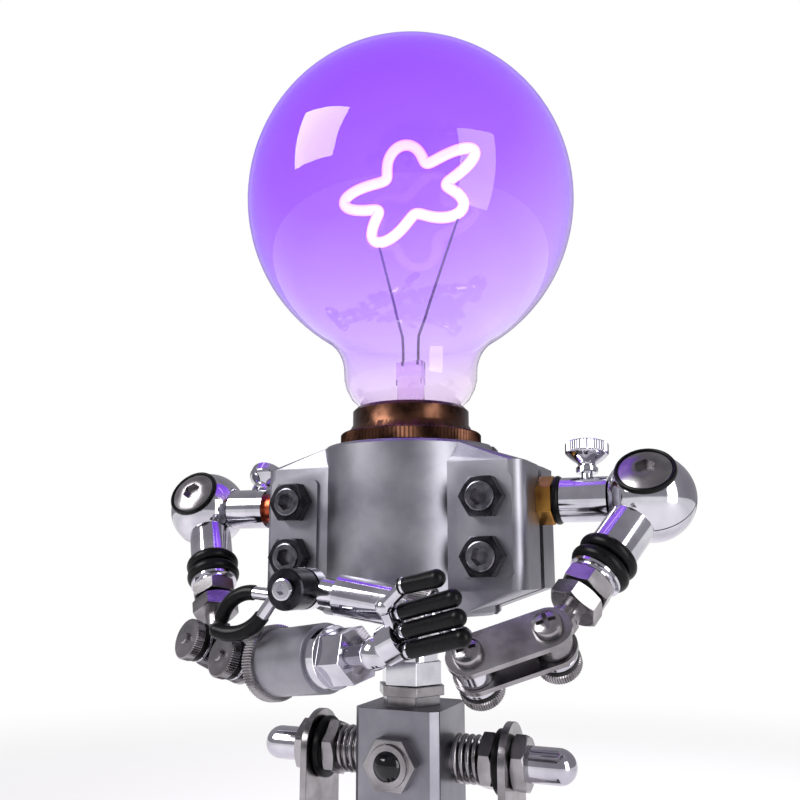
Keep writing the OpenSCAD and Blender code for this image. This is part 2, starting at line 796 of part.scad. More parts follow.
// at each pivot: a screw, a dome washer, a rubber washer and a knurled nut
module link_bolts(side) {
    y0 = plate_y + link_t;
    head_h = 2.4;
    dome_h = 1.9;
    rubber_h = 1.6;
    knob_h = 2.8;
    at_axis()
        frame(elbow(side), nut_dir(side), link_dir(side))
        for (z = [0, link_l])
            translate([0, 0, z]) {
                color("silver") {
                    translate([0, -y0 - head_h, 0]) along_y() cylinder(d = 7.2, h = head_h);
                    translate([0, -y0 - eps, 0]) along_y()
                        cylinder(d = pivot_d, h = 2 * y0 + dome_h + rubber_h + knob_h + 1);
                    translate([0, y0, 0]) along_y()
                        pipe_cone(knob_d * 0.6, knob_d * 0.94, pivot_d + 2 * run, dome_h);
                }
                color([0.05, 0.05, 0.05])
                    translate([0, y0 + dome_h, 0]) along_y()
                        pipe(knob_d * 0.96, pivot_d + 2 * run, rubber_h);
                color("gray")
                    translate([0, y0 + dome_h + rubber_h, 0]) along_y()
                        pipe(knob_d, pivot_d + 2 * run, knob_h);
            }
}

module pipe_cone(d1, d2, id, h) {
    difference() {
        cylinder(d1 = d1, d2 = d2, h = h);
        translate([0, 0, -1]) cylinder(d = id, h = h + 2);
    }
}

// ---------- right forearm and hand ----------
wrist_eye_t = 4;
ring_right_h = 5;

module forearm_right() {
    neck_r = 2.3;
    collar_l = wrist_gap - 5;
    at_axis() color("silver")
        difference() {
            union() {
                frame(second_pivot(1), nuts_right, link_dir_right) eye_disc();
                bar_between(second_pivot(1) + 3.4 * unit(knuckle_right - second_pivot(1)), knuckle_right, neck_r);
                translate(knuckle_right) sphere(r = neck_r + 0.5, $fn = 32);
                bar_between(knuckle_right, forearm_base_right + 2 * forearm_dir_right, neck_r);
                aim(forearm_base_right, forearm_dir_right) {
                    cylinder(d = forearm_right_d, h = forearm_right_l);
                    cylinder(d = forearm_right_d * 0.7, h = forearm_right_l + collar_l);
                }
                translate(wrist_point_right - [0, wrist_eye_t / 2, 0]) along_y()
                    cylinder(d = 10.4, h = wrist_eye_t);
            }
            translate(wrist_point_right - [0, 10, 0]) along_y() cylinder(d = wrist_screw_d + 2 * run, h = 20);
            frame(second_pivot(1), nuts_right, link_dir_right) eye_bore();
        }
}

module forearm_ring_right() {
    at_axis() color("gray")
        aim(forearm_base_right, forearm_dir_right)
            translate([0, 0, 0.6]) pipe(forearm_right_d + 1.8, forearm_right_d + 2 * run, ring_right_h);
}

wrist_screw_d = 3;
sleeve_r = 5;
sleeve_h = 8.4;
sleeve_y = wrist_eye_t / 2 + seat;

// a black bush with its socket screw, on which the hand turns
module wrist_right() {
    at_axis() translate(wrist_point_right) {
        color([0.05, 0.05, 0.05])
            translate([0, -sleeve_y - sleeve_h, 0]) along_y()
                pipe(2 * sleeve_r, wrist_screw_d + 2 * run, sleeve_h);
        color("silver")
            difference() {
                union() {
                    translate([0, -sleeve_y - sleeve_h - 1.6, 0]) along_y() cylinder(d = 5, h = 1.6 - eps);
                    translate([0, -sleeve_y - sleeve_h - 0.1, 0]) along_y()
                        cylinder(d = wrist_screw_d, h = sleeve_h + sleeve_y + wrist_eye_t / 2 + 1.4);
                }
                translate([0, -sleeve_y - sleeve_h - 2, 0]) along_y() hex(2, 1.4);
            }
    }
}

// the two claw fingers lie side by side in planes that face the viewer
claw_y = [sleeve_y + 2.1, sleeve_y + sleeve_h - 2.1];
claw_a = [-13.2, -9.6];     // centre of the upper claw's bend, from the wrist, X and Z
claw_a_r = 8.6;
claw_a_from = 84;
claw_a_to = 166;
claw_b = [-16.2, 0.6];      // centre of the lower claw's bend
claw_b_r = 11.4;
claw_b_from = 322;
claw_b_to = 250;
base_r = 1.6;

function on_bend(c, r, a) = [c[0] + r * cos(a), c[1] + r * sin(a)];

// a chrome bar that leads straight out of the bush into the finger's open end;
// way is 1 where the finger bends towards larger angles
module claw_base(c, r, a, way, y) {
    end = on_bend(c, r, a);
    back = way * [sin(a), -cos(a)];
    l = end * -back + 1;
    bar_between(
        wrist_point_right + [end[0], -y, end[1]],
        wrist_point_right + [end[0] + l * back[0], -y, end[1] + l * back[1]],
        base_r
    );
}

module finger_bases_right() {
    at_axis() color("silver")
        difference() {
            union() {
                claw_base(claw_a, claw_a_r, claw_a_from, 1, claw_y[0]);
                claw_base(claw_b, claw_b_r, claw_b_from, -1, claw_y[1]);
            }
            translate(wrist_point_right - [0, 20, 0]) along_y() cylinder(r = sleeve_r + eps, h = 40);
        }
}

// a bent rubber finger; its rounded tip is a hair slimmer than the tube it sits on
module claw(c, r, a0, a1, y) {
    tip_step = 0.2;
    translate(wrist_point_right + [c[0], -y, c[1]])
        rotate([90, 0, 0]) {
            rotate([0, 0, min(a0, a1)])
                rotate_extrude(angle = abs(a1 - a0))
                    translate([r, 0]) circle(d = finger_d, $fn = 32);
            rotate([0, 0, a1]) translate([r, 0, 0]) sphere(d = finger_d - tip_step, $fn = 32);
        }
}

module fingers_right() {
    at_axis() color([0.04, 0.04, 0.04]) {
        claw(claw_a, claw_a_r, claw_a_from, claw_a_to, claw_y[0]);
        claw(claw_b, claw_b_r, claw_b_from, claw_b_to, claw_y[1]);
    }
}

// ---------- left forearm and hand ----------
module left_forearm_frame() { frame(second_pivot(-1), nuts_left, forearm_dir_left) children(); }

module forearm_left() {
    at_axis() color([0.75, 0.75, 0.77])
        left_forearm_frame() {
            difference() {
                union() {
                    eye_disc();
                    translate([-2.3, -2.3, 3]) cube([4.6, 4.6, ring_start - 2]);
                }
                eye_bore();
            }
            translate([0, 0, ring_start]) cylinder(d = forearm_left_d - 1, h = end_ring_h + 1);
            translate([0, 0, sleeve_start]) cylinder(d = forearm_left_d, h = forearm_left_l);
        }
}

module forearm_ring_left() {
    at_axis() color("gray")
        left_forearm_frame()
            translate([0, 0, ring_start])
                pipe(end_ring_d, forearm_left_d - 1 + 2 * run, end_ring_h - eps);
}

// end collar and chamfered hexagon
module forearm_nut_left() {
    at_axis() color("silver")
        left_forearm_frame() {
            translate([0, 0, nut_start + eps]) cylinder(d = forearm_left_d * 0.9, h = collar_h);
            intersection() {
                translate([0, 0, nut_start + collar_h]) hex(forearm_left_d * 0.72, hex_h);
                translate([0, 0, nut_start + collar_h - 1])
                    cylinder(r1 = forearm_left_d, r2 = forearm_left_d * 0.36, h = hex_h + 2);
            }
        }
}

module wrist_ball_left() {
    at_axis() color("silver")
        left_forearm_frame() {
            translate([0, 0, nut_start + collar_h + hex_h + eps]) cylinder(r = 2.2, h = ball_stud);
            translate([0, 0, wrist_reach]) sphere(r = hand_ball_r);
        }
}

// the hand's own frame: Z along the palm, Y towards the viewer's side
palm_dir = unit([0.72, -0.2, 0.36]);
finger_dir = unit([0.9, -0.34, 0.22]);
palm_l = 5;
palm_w = 9;
palm_start = wrist_point_left + (hand_ball_r + clear) * palm_dir;
knuckles = palm_start + palm_l * palm_dir;
finger_pitch = finger_d + 0.25;
finger_len = 15;
thumb_root = palm_start + [1.2, -5, 8.6];
thumb_mid = thumb_root + [5.4, -1.5, 4.6];
thumb_tip = thumb_mid + [8.2, -2.2, 1.6];

joint_ball_r = base_r + 0.3;
stub_l = 3;
thumb_dir = unit(thumb_tip - thumb_mid);

hand_across = unit(cross(finger_dir, [0, -1, 0]));
spoke_r = 1.2;
spoke_pitch = 2.8;
function finger_root(i) = knuckles + [1, -1.6, 1.4] + (i - 1) * finger_pitch * hand_across;

// a chrome knuckle: a ball with a stub on which the rubber finger is pushed
module knuckle(at, dir) {
    aim(at, dir) {
        sphere(r = joint_ball_r, $fn = 32);
        cylinder(r = base_r, h = joint_ball_r + stub_l, $fn = 40);
    }
}

module rubber_finger(at, dir, l) {
    aim(at + (joint_ball_r + run) * dir, dir)
        difference() {
            union() {
                cylinder(d = finger_d, h = l);
                translate([0, 0, l]) sphere(d = finger_d);
            }
            translate([0, 0, -1]) cylinder(r = base_r + run, h = stub_l + 1);
        }
}

module finger_bases_left() {
    at_axis() color("silver") {
        aim(palm_start, palm_dir) cylinder(d = palm_w, h = palm_l);
        for (i = [0:2]) {
            bar_between(knuckles - palm_dir + (i - 1) * spoke_pitch * hand_across, finger_root(i), spoke_r);
            knuckle(finger_root(i), finger_dir);
        }
        bar_between(palm_start + 3 * palm_dir, thumb_root, base_r * 0.9);
        aim(thumb_root, thumb_mid - thumb_root) sphere(r = joint_ball_r, $fn = 32);
        bar_between(thumb_root, thumb_mid, base_r * 0.9);
        knuckle(thumb_mid, thumb_dir);
    }
}

module fingers_left() {
    at_axis() color([0.04, 0.04, 0.04]) {
        for (i = [0:2]) rubber_finger(finger_root(i), finger_dir, finger_len - joint_ball_r);
        rubber_finger(thumb_mid, thumb_dir, norm(thumb_tip - thumb_mid) - joint_ball_r);
    }
}

// ---------- hips ----------
block_r = block_w / 2;
spring_x = block_r;
nut_x = spring_x + spring_l;
hip_nut_h = 3.8;
disc_x = nut_x + hip_nut_h;
disc_t = 2.3;
strap_x = disc_x + disc_t + seat;
outer_x = strap_x + strap_t + seat;
cap_x = outer_x + hip_nut_h;
cap_l = 12;
cap_nut_d = 9;

module hip_block() {
    edge = 0.8;
    at_axis() color([0.62, 0.62, 0.64])
        difference() {
            translate([-block_r, -block_r, hip_z - block_down])
                cube([block_w, block_w, block_up + block_down]);
            for (a = [0:90:270])
                rotate([0, 0, a])
                    translate([block_r, block_r, 0]) rotate([0, 0, 45])
                        translate([-edge, -edge / 2, 0]) cube([2 * edge, edge * 4, 600], center = true);
            translate([-block_r - 1, 0, hip_z]) along_x() cylinder(d = axle_d, h = block_w + 2);
            translate([0, 0, pin_z - 0.6]) cylinder(d = stem_pin_d + 2 * run, h = 20);
            translate([0, -block_r - 1, hip_z]) along_y() cylinder(d = bezel_thread_d, h = 1 + bezel_in);
            translate([0, block_r - gland_in, hip_z]) along_y() cylinder(d = gland_thread_d, h = gland_in + 1);
        }
}

module hip_axle() {
    at_axis() color([0.5, 0.5, 0.52])
        translate([-cap_x - 5, 0, hip_z]) along_x() cylinder(d = axle_d, h = 2 * (cap_x + 5));
}

// One unbroken round wire: straight ends of one wire diameter, then an even helix
spring_sides = 6;
rings_per_curl = 8;
coil_r = coil_d / 2;
helix_l = spring_l - 2 * wire_d - 0.1;
helix_n = curls * rings_per_curl;
function helix_point(i) =
    let (a = 360 * i / rings_per_curl)
    [wire_d + 0.05 + helix_l * i / helix_n, coil_r * cos(a), coil_r * sin(a)];
spring_path = concat(
    [[0.05, coil_r, 0], [wire_d, coil_r, 0]],
    [for (i = [1:helix_n - 1]) helix_point(i)],
    [[spring_l - wire_d, coil_r, 0], [spring_l - 0.05, coil_r, 0]]
);
spring_n = len(spring_path);
function path_dir(i) =
    unit(spring_path[min(i + 1, spring_n - 1)] - spring_path[max(i - 1, 0)]);
function ring_points(i) =
    let (p = spring_path[i], out = unit([0, p[1], p[2]]), t = path_dir(i), b = cross(t, out))
    [for (k = [0:spring_sides - 1])
        let (a = 360 * k / spring_sides)
        p + wire_d / 2 * (out * cos(a) + b * sin(a))];
spring_points = [for (i = [0:spring_n - 1]) each ring_points(i)];
spring_faces = concat(
    [for (k = [1:spring_sides - 2]) [0, k, k + 1]],
    [for (i = [0:spring_n - 2], k = [0:spring_sides - 1])
        let (a = i * spring_sides + k, b = i * spring_sides + (k + 1) % spring_sides)
        each [[a, a + spring_sides, b], [b, a + spring_sides, b + spring_sides]]],
    [for (k = [1:spring_sides - 2])
        let (e = (spring_n - 1) * spring_sides) [e, e + k + 1, e + k]]
);
// least gap between two stretches of the wire that are more than half a curl apart
spring_gap = min([
    for (i = [0:spring_n - 2], j = [i + 5:1:spring_n - 1])
        norm(spring_path[i] - spring_path[j]) - wire_d
]);
echo("least gap between the spring's curls, mm", spring_gap);

module hip_springs() {
    at_axis() color([0.5, 0.5, 0.52])
        for (s = [-1, 1])
            translate([0, 0, hip_z])
                rotate([0, 0, s < 0 ? 180 : 0])
                    translate([spring_x, 0, 0]) polyhedron(spring_points, spring_faces);
}

// inner and outer nuts on each side of the axle
module hip_nuts() {
    at_axis() color([0.45, 0.45, 0.47])
        for (s = [-1, 1])
            translate([0, 0, hip_z])
                mirror([s < 0 ? 1 : 0, 0, 0])
                    for (x = [nut_x, outer_x])
                        translate([x, 0, 0]) along_x() hex_ring(hip_nut_af, axle_d, hip_nut_h);
}

module hip_discs() {
    at_axis() color([0.04, 0.04, 0.04])
        for (s = [-1, 1])
            translate([0, 0, hip_z])
                mirror([s < 0 ? 1 : 0, 0, 0])
                    translate([disc_x, 0, 0]) along_x() pipe(disc_d, axle_d, disc_t);
}

module cap_nuts() {
    at_axis() color("silver")
        for (s = [-1, 1])
            translate([0, 0, hip_z])
                mirror([s < 0 ? 1 : 0, 0, 0])
                    translate([cap_x, 0, 0]) along_x()
                        difference() {
                            union() {
                                cylinder(d = cap_nut_d, h = cap_l - cap_nut_d / 2);
                                translate([0, 0, cap_l - cap_nut_d / 2]) sphere(d = cap_nut_d);
                            }
                            translate([0, 0, -1]) cylinder(d = axle_d, h = 6);
                        }
}

// ---------- switch and cable inlet ----------
bezel_thread_d = 10;
bezel_in = 4;
bezel_h = 4;
gland_thread_d = 10;
gland_in = 5;
gland_hex_h = 4;
gland_nose = 6;

module switch_bezel() {
    at_axis() color([0.4, 0.4, 0.42])
        translate([0, -block_r, hip_z])
            difference() {
                union() {
                    translate([0, -bezel_h, 0]) along_y() hex(switch_af, bezel_h);
                    translate([0, -bezel_h - 1, 0]) along_y() cylinder(d = switch_af * 0.84, h = 1 + eps);
                    translate([0, -eps, 0]) along_y() cylinder(d = bezel_thread_d, h = bezel_in);
                }
                translate([0, -bezel_h - 2, 0]) along_y() cylinder(d = button_d + 2 * run, h = 20);
            }
}

module switch_button() {
    button_l = bezel_h + 1 + bezel_in - button_travel - 0.3;
    dome_h = 1.6;
    dome_r = (button_d * button_d / 4 + dome_h * dome_h) / (2 * dome_h);
    at_axis() color([0.06, 0.06, 0.07])
        translate([0, -block_r - bezel_h - 1, hip_z]) {
            along_y() cylinder(d = button_d, h = button_l);
            intersection() {
                translate([0, dome_r - dome_h, 0]) sphere(r = dome_r);
                translate([0, -dome_h - 1, 0]) along_y() cylinder(d = button_d, h = dome_h + 1 + eps);
            }
        }
}

module cable_gland() {
    at_axis() color([0.12, 0.12, 0.13])
        translate([0, block_r, hip_z])
            difference() {
                union() {
                    translate([0, -gland_in, 0]) along_y() cylinder(d = gland_thread_d, h = gland_in + eps);
                    along_y() hex(switch_af, gland_hex_h);
                    translate([0, gland_hex_h - eps, 0]) along_y()
                        cylinder(d1 = switch_af * 0.86, d2 = cable_hole_d + 3, h = gland_nose);
                }
                translate([0, -gland_in - 1, 0]) along_y() cylinder(d = cable_hole_d, h = 30);
            }
}

// ---------- legs ----------
knee_z = hip_z - thigh_l;
shin_eye_t = 4;
shin_x = strap_x - seat - shin_eye_t / 2;
shin_tube_z0 = ankle_z + 9;
shin_tube_z1 = knee_z - 9;
fork_gap = shin_eye_t / 2 + seat;
fork_t = 4;
fork_w = 12;

module leg_side(side) { mirror([side < 0 ? 1 : 0, 0, 0]) children(); }

module thigh(side) {
    at_axis() color([0.5, 0.5, 0.52])
        leg_side(side)
            difference() {
                translate([strap_x, 0, 0]) {
                    translate([0, 0, hip_z]) along_x() cylinder(d = strap_w, h = strap_t);
                    translate([0, -strap_w / 2, knee_z]) cube([strap_t, strap_w, thigh_l]);
                    translate([0, 0, knee_z]) along_x() cylinder(d = strap_w, h = strap_t);
                }
                translate([strap_x - 5, 0, hip_z]) along_x() cylinder(d = axle_d + 2 * run, h = 10);
                translate([strap_x - 5, 0, knee_z]) along_x() cylinder(d = knee_d, h = 10);
            }
}

// a hexagon bolt from outside, its locking nut inside
module knee_bolts(side) {
    inner_x = shin_x - shin_eye_t / 2 - seat;
    knee_head_h = 4;
    at_axis() color([0.4, 0.4, 0.42])
        leg_side(side)
            translate([0, 0, knee_z]) {
                translate([inner_x - 6, 0, 0]) along_x()
                    cylinder(d = knee_d, h = strap_x + strap_t - inner_x + 6 + eps);
                translate([strap_x + strap_t, 0, 0]) along_x() hex(10, knee_head_h);
                translate([inner_x - 5, 0, 0]) along_x() hex_ring(10, knee_d, 5);
            }
}

module shin(side) {
    eye_d = 13;
    bore = knee_d + 2 * run;
    at_axis() color([0.7, 0.7, 0.72])
        leg_side(side)
            translate([shin_x, 0, 0])
                difference() {
                    union() {
                        for (z = [knee_z, ankle_z]) {
                            translate([-shin_eye_t / 2, 0, z]) along_x() cylinder(d = eye_d, h = shin_eye_t);
                        }
                        translate([-shin_eye_t / 2, -4, ankle_z]) cube([shin_eye_t, 8, knee_z - ankle_z]);
                        translate([0, 0, shin_tube_z0]) cylinder(d = shin_d, h = shin_tube_z1 - shin_tube_z0);
                    }
                    for (z = [knee_z, ankle_z])
                        translate([-10, 0, z]) along_x() cylinder(d = bore, h = 20);
                    // room for the thigh strap beside the tube's upper end
                    translate([strap_x - seat - shin_x, -20, knee_z - strap_w / 2 - 1])
                        cube([10, 40, strap_w]);
                }
}

module foot(side) {
    corner = 6;
    at_axis() color([0.35, 0.35, 0.37])
        leg_side(side)
            translate([shin_x, 0, 0])
                difference() {
                    union() {
                        hull()
                            for (x = [-1, 1], y = [corner - toe_reach, heel_reach - corner])
                                translate([x * (foot_w / 2 - corner), y, 0])
                                    cylinder(r = corner, h = sole_h, $fn = 32);
                        for (s = [-1, 1])
                            translate([s * (fork_gap + fork_t / 2) - fork_t / 2, 0, 0]) {
                                translate([0, 0, ankle_z]) along_x() cylinder(d = fork_w, h = fork_t);
                                translate([0, -fork_w / 2, 1]) cube([fork_t, fork_w, ankle_z - 1]);
                            }
                        // the ankle pin, fixed in the fork
                        translate([-fork_gap - fork_t - 1.5, 0, ankle_z]) along_x()
                            cylinder(d = knee_d, h = 2 * (fork_gap + fork_t + 1.5));
                    }
                    // the shin's eye turns in the sole's slot
                    difference() {
                        translate([-fork_gap, 0, ankle_z]) along_x() cylinder(d = 22, h = 2 * fork_gap);
                        translate([-fork_gap - 1, 0, ankle_z]) along_x()
                            cylinder(d = knee_d, h = 2 * fork_gap + 2);
                    }
                }
}

// ---------- sides by name ----------
module shoulder_socket_right() { shoulder_socket(1); }
module shoulder_socket_left() { shoulder_socket(-1); }
module thumb_screw_right() { thumb_screw(1); }
module thumb_screw_left() { thumb_screw(-1); }
module swivel_cup_right() { swivel_cup(1); }
module swivel_cup_left() { swivel_cup(-1); }
module swivel_cap_right() { swivel_cap(1); }
module swivel_cap_left() { swivel_cap(-1); }
module arm_cushions_right() { arm_cushions(1); }
module arm_cushions_left() { arm_cushions(-1); }
module arm_nuts_right() { arm_nuts(1); }
module arm_nuts_left() { arm_nuts(-1); }
module arm_rod_right() { arm_rod(1); }
module arm_rod_left() { arm_rod(-1); }
module link_plates_right() { link_plates(1); }
module link_plates_left() { link_plates(-1); }
module link_bolts_right() { link_bolts(1); }
module link_bolts_left() { link_bolts(-1); }
module thigh_right() { thigh(1); }
module thigh_left() { thigh(-1); }
module knee_bolts_right() { knee_bolts(1); }
module knee_bolts_left() { knee_bolts(-1); }
module shin_right() { shin(1); }
module shin_left() { shin(-1); }
module foot_right() { foot(1); }
module foot_left() { foot(-1); }

bulb_glass();
bulb_cap();
glass_stem();
filament();
lamp_holder();
holder_ring();
front_shell();
rear_shell();
chest_spacers();
chest_bolts();
shoulder_studs();
shoulder_seals();
waist_stem();
waist_nuts();
shoulder_socket_right();
thumb_screw_right();
swivel_cup_right();
swivel_cap_right();
arm_cushions_right();
arm_nuts_right();
arm_rod_right();
link_plates_right();
link_bolts_right();
forearm_right();
forearm_ring_right();
wrist_right();
finger_bases_right();
fingers_right();
shoulder_socket_left();
thumb_screw_left();
swivel_cup_left();
swivel_cap_left();
arm_cushions_left();
arm_nuts_left();
arm_rod_left();
link_plates_left();
link_bolts_left();
forearm_left();
forearm_ring_left();
forearm_nut_left();
wrist_ball_left();
finger_bases_left();
fingers_left();
hip_block();
hip_axle();
hip_springs();
hip_nuts();
hip_discs();
cap_nuts();
switch_bezel();
switch_button();
cable_gland();
thigh_right();
thigh_left();
knee_bolts_right();
knee_bolts_left();
shin_right();
shin_left();
foot_right();
foot_left();
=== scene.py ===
# %% [markdown]
# # A desk lamp shaped like a standing robot
# The solid parts of this lamp were drawn in OpenSCAD and packed into one model, with a body
# for each stiff piece and a joint for each pivot. This lesson dresses that model: it rounds
# the edges, cuts the knurls and threads, and gives every surface a finish. Nothing here
# moves a solid part, because the joints have to keep fitting.

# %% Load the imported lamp
import json
import math

import bpy
from mathutils import Matrix, Vector

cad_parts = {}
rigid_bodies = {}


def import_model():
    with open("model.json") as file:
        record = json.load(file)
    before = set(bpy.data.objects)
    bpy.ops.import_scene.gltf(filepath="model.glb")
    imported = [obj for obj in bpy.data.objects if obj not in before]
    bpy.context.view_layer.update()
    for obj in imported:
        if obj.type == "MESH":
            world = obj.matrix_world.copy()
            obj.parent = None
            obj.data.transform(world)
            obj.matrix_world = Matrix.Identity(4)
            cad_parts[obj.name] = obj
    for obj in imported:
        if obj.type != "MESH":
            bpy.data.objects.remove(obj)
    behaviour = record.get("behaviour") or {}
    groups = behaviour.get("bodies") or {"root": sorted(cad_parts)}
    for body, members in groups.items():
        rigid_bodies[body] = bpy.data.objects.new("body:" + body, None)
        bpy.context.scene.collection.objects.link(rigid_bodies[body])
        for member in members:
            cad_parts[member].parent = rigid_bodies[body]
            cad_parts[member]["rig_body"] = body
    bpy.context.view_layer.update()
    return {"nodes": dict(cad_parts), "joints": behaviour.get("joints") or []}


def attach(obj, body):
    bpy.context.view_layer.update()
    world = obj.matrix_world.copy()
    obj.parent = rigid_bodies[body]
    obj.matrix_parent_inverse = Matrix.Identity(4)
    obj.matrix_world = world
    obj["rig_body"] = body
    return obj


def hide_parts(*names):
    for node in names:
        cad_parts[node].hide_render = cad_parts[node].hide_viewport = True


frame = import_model()

# %% [markdown]
# ## Places to measure from
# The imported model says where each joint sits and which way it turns. A pivot's place is the
# best thing to build a screw or a nut around, so the joints are kept by name. Right and left
# are the viewer's, and each side has its sign along X.

# %% Joint places and directions
MM = 0.001
SIDES = {"right": 1, "left": -1}
hinges = {j["name"]: j for j in frame["joints"]}


def joint_at(name):
    """Where a joint sits, in metres."""
    return Vector(hinges[name]["pos_m"])


def joint_axis(name):
    """The direction a joint turns about."""
    return Vector(hinges[name]["axis"]).normalized()


axis_y = joint_at("waist_turn").y
shoulder_z = joint_at("shoulder_swing_right").z
hip_z = joint_at("hip_swing_right").z
print("upright axis at y", round(axis_y / MM, 2), "mm, shoulders at", round(shoulder_z / MM, 1))

# %% [markdown]
# ## Camera
# The picture was taken from a little below the shoulders, looking up by 11 degrees, with the
# camera to the viewer's right of the robot's front. The lens was worked out from how fast the
# arms shrink with distance: 38 mm on a 36 mm wide sensor.

# %% Set the camera
LENS_MM = 38.25
SENSOR_MM = 36.0
PICTURE_PX = 800
AXIS_ASIDE_PX = 11
CAMERA_FROM_AXIS = Vector((0.0914, -0.2262, 0.190))
LOOK_UP = math.radians(11)
AIM_ASIDE = math.atan(AXIS_ASIDE_PX / (LENS_MM / SENSOR_MM * PICTURE_PX))


def set_camera():
    """Makes the camera and points it at the upright axis, a little to its left."""
    data = bpy.data.cameras.new("camera")
    data.lens = LENS_MM
    data.sensor_width = SENSOR_MM
    data.clip_start = 0.01
    camera = bpy.data.objects.new("camera", data)
    bpy.context.scene.collection.objects.link(camera)
    camera.location = CAMERA_FROM_AXIS + Vector((0, axis_y, 0))
    heading = math.atan2(-CAMERA_FROM_AXIS.y, -CAMERA_FROM_AXIS.x) + AIM_ASIDE
    ahead = Vector((math.cos(heading) * math.cos(LOOK_UP),
                    math.sin(heading) * math.cos(LOOK_UP), math.sin(LOOK_UP)))
    camera.rotation_euler = ahead.to_track_quat("-Z", "Y").to_euler()
    bpy.context.scene.camera = camera
    return camera


print("camera at", [round(v, 3) for v in set_camera().location])

# %% [markdown]
# ## Nodes and colours
# A colour picked from a picture is written as a hex code in sRGB, but shaders work in linear
# light. One function turns the first into the second, and one more adds a shader node with
# its settings and links, so that each finish below reads as a short recipe.

# %% Colour and node helpers
def linear(hex_code):
    """An sRGB hex code as a linear RGBA colour."""
    parts = [int(hex_code[i:i + 2], 16) / 255 for i in (1, 3, 5)]
    return [v / 12.92 if v <= 0.04045 else ((v + 0.055) / 1.055) ** 2.4 for v in parts] + [1.0]


def add_node(tree, kind, options=None, values=None, links=None):
    """Adds a shader node, sets its options and input values, and links outputs into it."""
    node = tree.nodes.new(kind)
    for name, value in (options or {}).items():
        setattr(node, name, value)
    for name, value in (values or {}).items():
        node.inputs[name].default_value = value
    for name, output in (links or {}).items():
        tree.links.new(output, node.inputs[name])
    return node


def new_finish(name):
    """An empty node material: its tree, and its output node."""
    material = bpy.data.materials.new(name)
    material.use_nodes = True
    material.node_tree.nodes.clear()
    return material, material.node_tree, add_node(material.node_tree, "ShaderNodeOutputMaterial")


print("chrome's hex turned linear:", [round(v, 3) for v in linear("#D9D9DE")])

# %% [markdown]
# ## Metals
# All the metals here share one recipe. A broad noise shifts the colour between a clean and a
# tarnished tone, as handling does, and spreads the roughness with it. A fine noise gives the
# grain of the surface. What differs is the tone, the grain and how sharp the reflections are.
# Real blasting and turning marks are finer than these grains, which are drawn to show.

# %% One recipe for the metals
def metal_finish(name, clean, tarnished, roughness, grain_mm, grain_depth, patch_mm=9.0):
    """A metal with patches of tarnish, uneven gloss and a fine grain. Sizes in mm."""
    material, tree, output = new_finish(name)
    place = add_node(tree, "ShaderNodeTexCoord")
    patches = add_node(tree, "ShaderNodeTexNoise", values={"Scale": 1000 / patch_mm, "Detail": 4.0},
                       links={"Vector": place.outputs["Object"]})
    grain = add_node(tree, "ShaderNodeTexNoise", values={"Scale": 1000 / grain_mm, "Detail": 2.0},
                     links={"Vector": place.outputs["Object"]})
    tone = add_node(tree, "ShaderNodeValToRGB", links={"Fac": patches.outputs["Fac"]})
    tone.color_ramp.elements[0].position = 0.35
    tone.color_ramp.elements[0].color = linear(tarnished)
    tone.color_ramp.elements[1].position = 0.62
    tone.color_ramp.elements[1].color = linear(clean)
    gloss = add_node(tree, "ShaderNodeMapRange",
                     values={"To Min": roughness[0], "To Max": roughness[1]},
                     links={"Value": patches.outputs["Fac"]})
    bump = add_node(tree, "ShaderNodeBump", values={"Strength": 1.0, "Distance": grain_depth * MM},
                    links={"Height": grain.outputs["Fac"]})
    shader = add_node(tree, "ShaderNodeBsdfPrincipled", values={"Metallic": 1.0},
                      links={"Base Color": tone.outputs["Color"], "Normal": bump.outputs["Normal"],
                             "Roughness": gloss.outputs["Result"]})
    tree.links.new(shader.outputs["BSDF"], output.inputs["Surface"])
    return material


# Bead blasting leaves aluminium matt, so the light falls off softly across it.
blasted_aluminium = metal_finish("bead_blasted_aluminium", "#96959C", "#7E7D86", (0.34, 0.46), 0.35,
                                 0.012, 14)
# Chrome plate is nearly a mirror. Nickel plate is duller and warmer, and its highlights spread.
chromed_steel = metal_finish("chromed_steel", "#D2D1D8", "#BAB8C2", (0.06, 0.14), 1.2, 0.002)
nickel_steel = metal_finish("nickel_plated_steel", "#A3A0A3", "#7B787A", (0.18, 0.32), 0.6, 0.006)
# Beside the chest, brass shines golden and the plated thread red.
brass = metal_finish("turned_brass", "#C9974A", "#8E5A2A", (0.15, 0.3), 0.7, 0.006)
copper_thread = metal_finish("copper_plated_thread", "#B4553A", "#7C3122", (0.2, 0.35), 0.7, 0.006)
# Browned bronze is dark and shows a warm shine.
dark_bronze = metal_finish("browned_bronze", "#5A3C2E", "#2A1A14", (0.2, 0.36), 0.6, 0.01, 5)
# Black oxide is a thin dark skin that lets the steel shine a little. Gunmetal is greyer.
black_oxide = metal_finish("black_oxide_steel", "#3A3A40", "#1D1D21", (0.2, 0.36), 0.4, 0.006, 4)
gunmetal = metal_finish("gunmetal_screw", "#7B7980", "#504F56", (0.14, 0.28), 0.5, 0.004, 3)
# The feet have a dark hammered finish, whose dimples break up the light.
blackened_steel = metal_finish("hammered_dark_steel", "#5A5A60", "#3C3C42", (0.34, 0.5), 1.6, 0.05, 12)
print("metals:", [m.name for m in bpy.data.materials if m.use_nodes])

# %% [markdown]
# ## Rubber and plastic
# The rings, seals and fingers are moulded black rubber. It is a deep black with a soft,
# oily highlight, and the mould leaves a very fine texture, drawn coarser here. The push
# button is polished phenolic plastic, which is smooth and shows a sharp highlight.

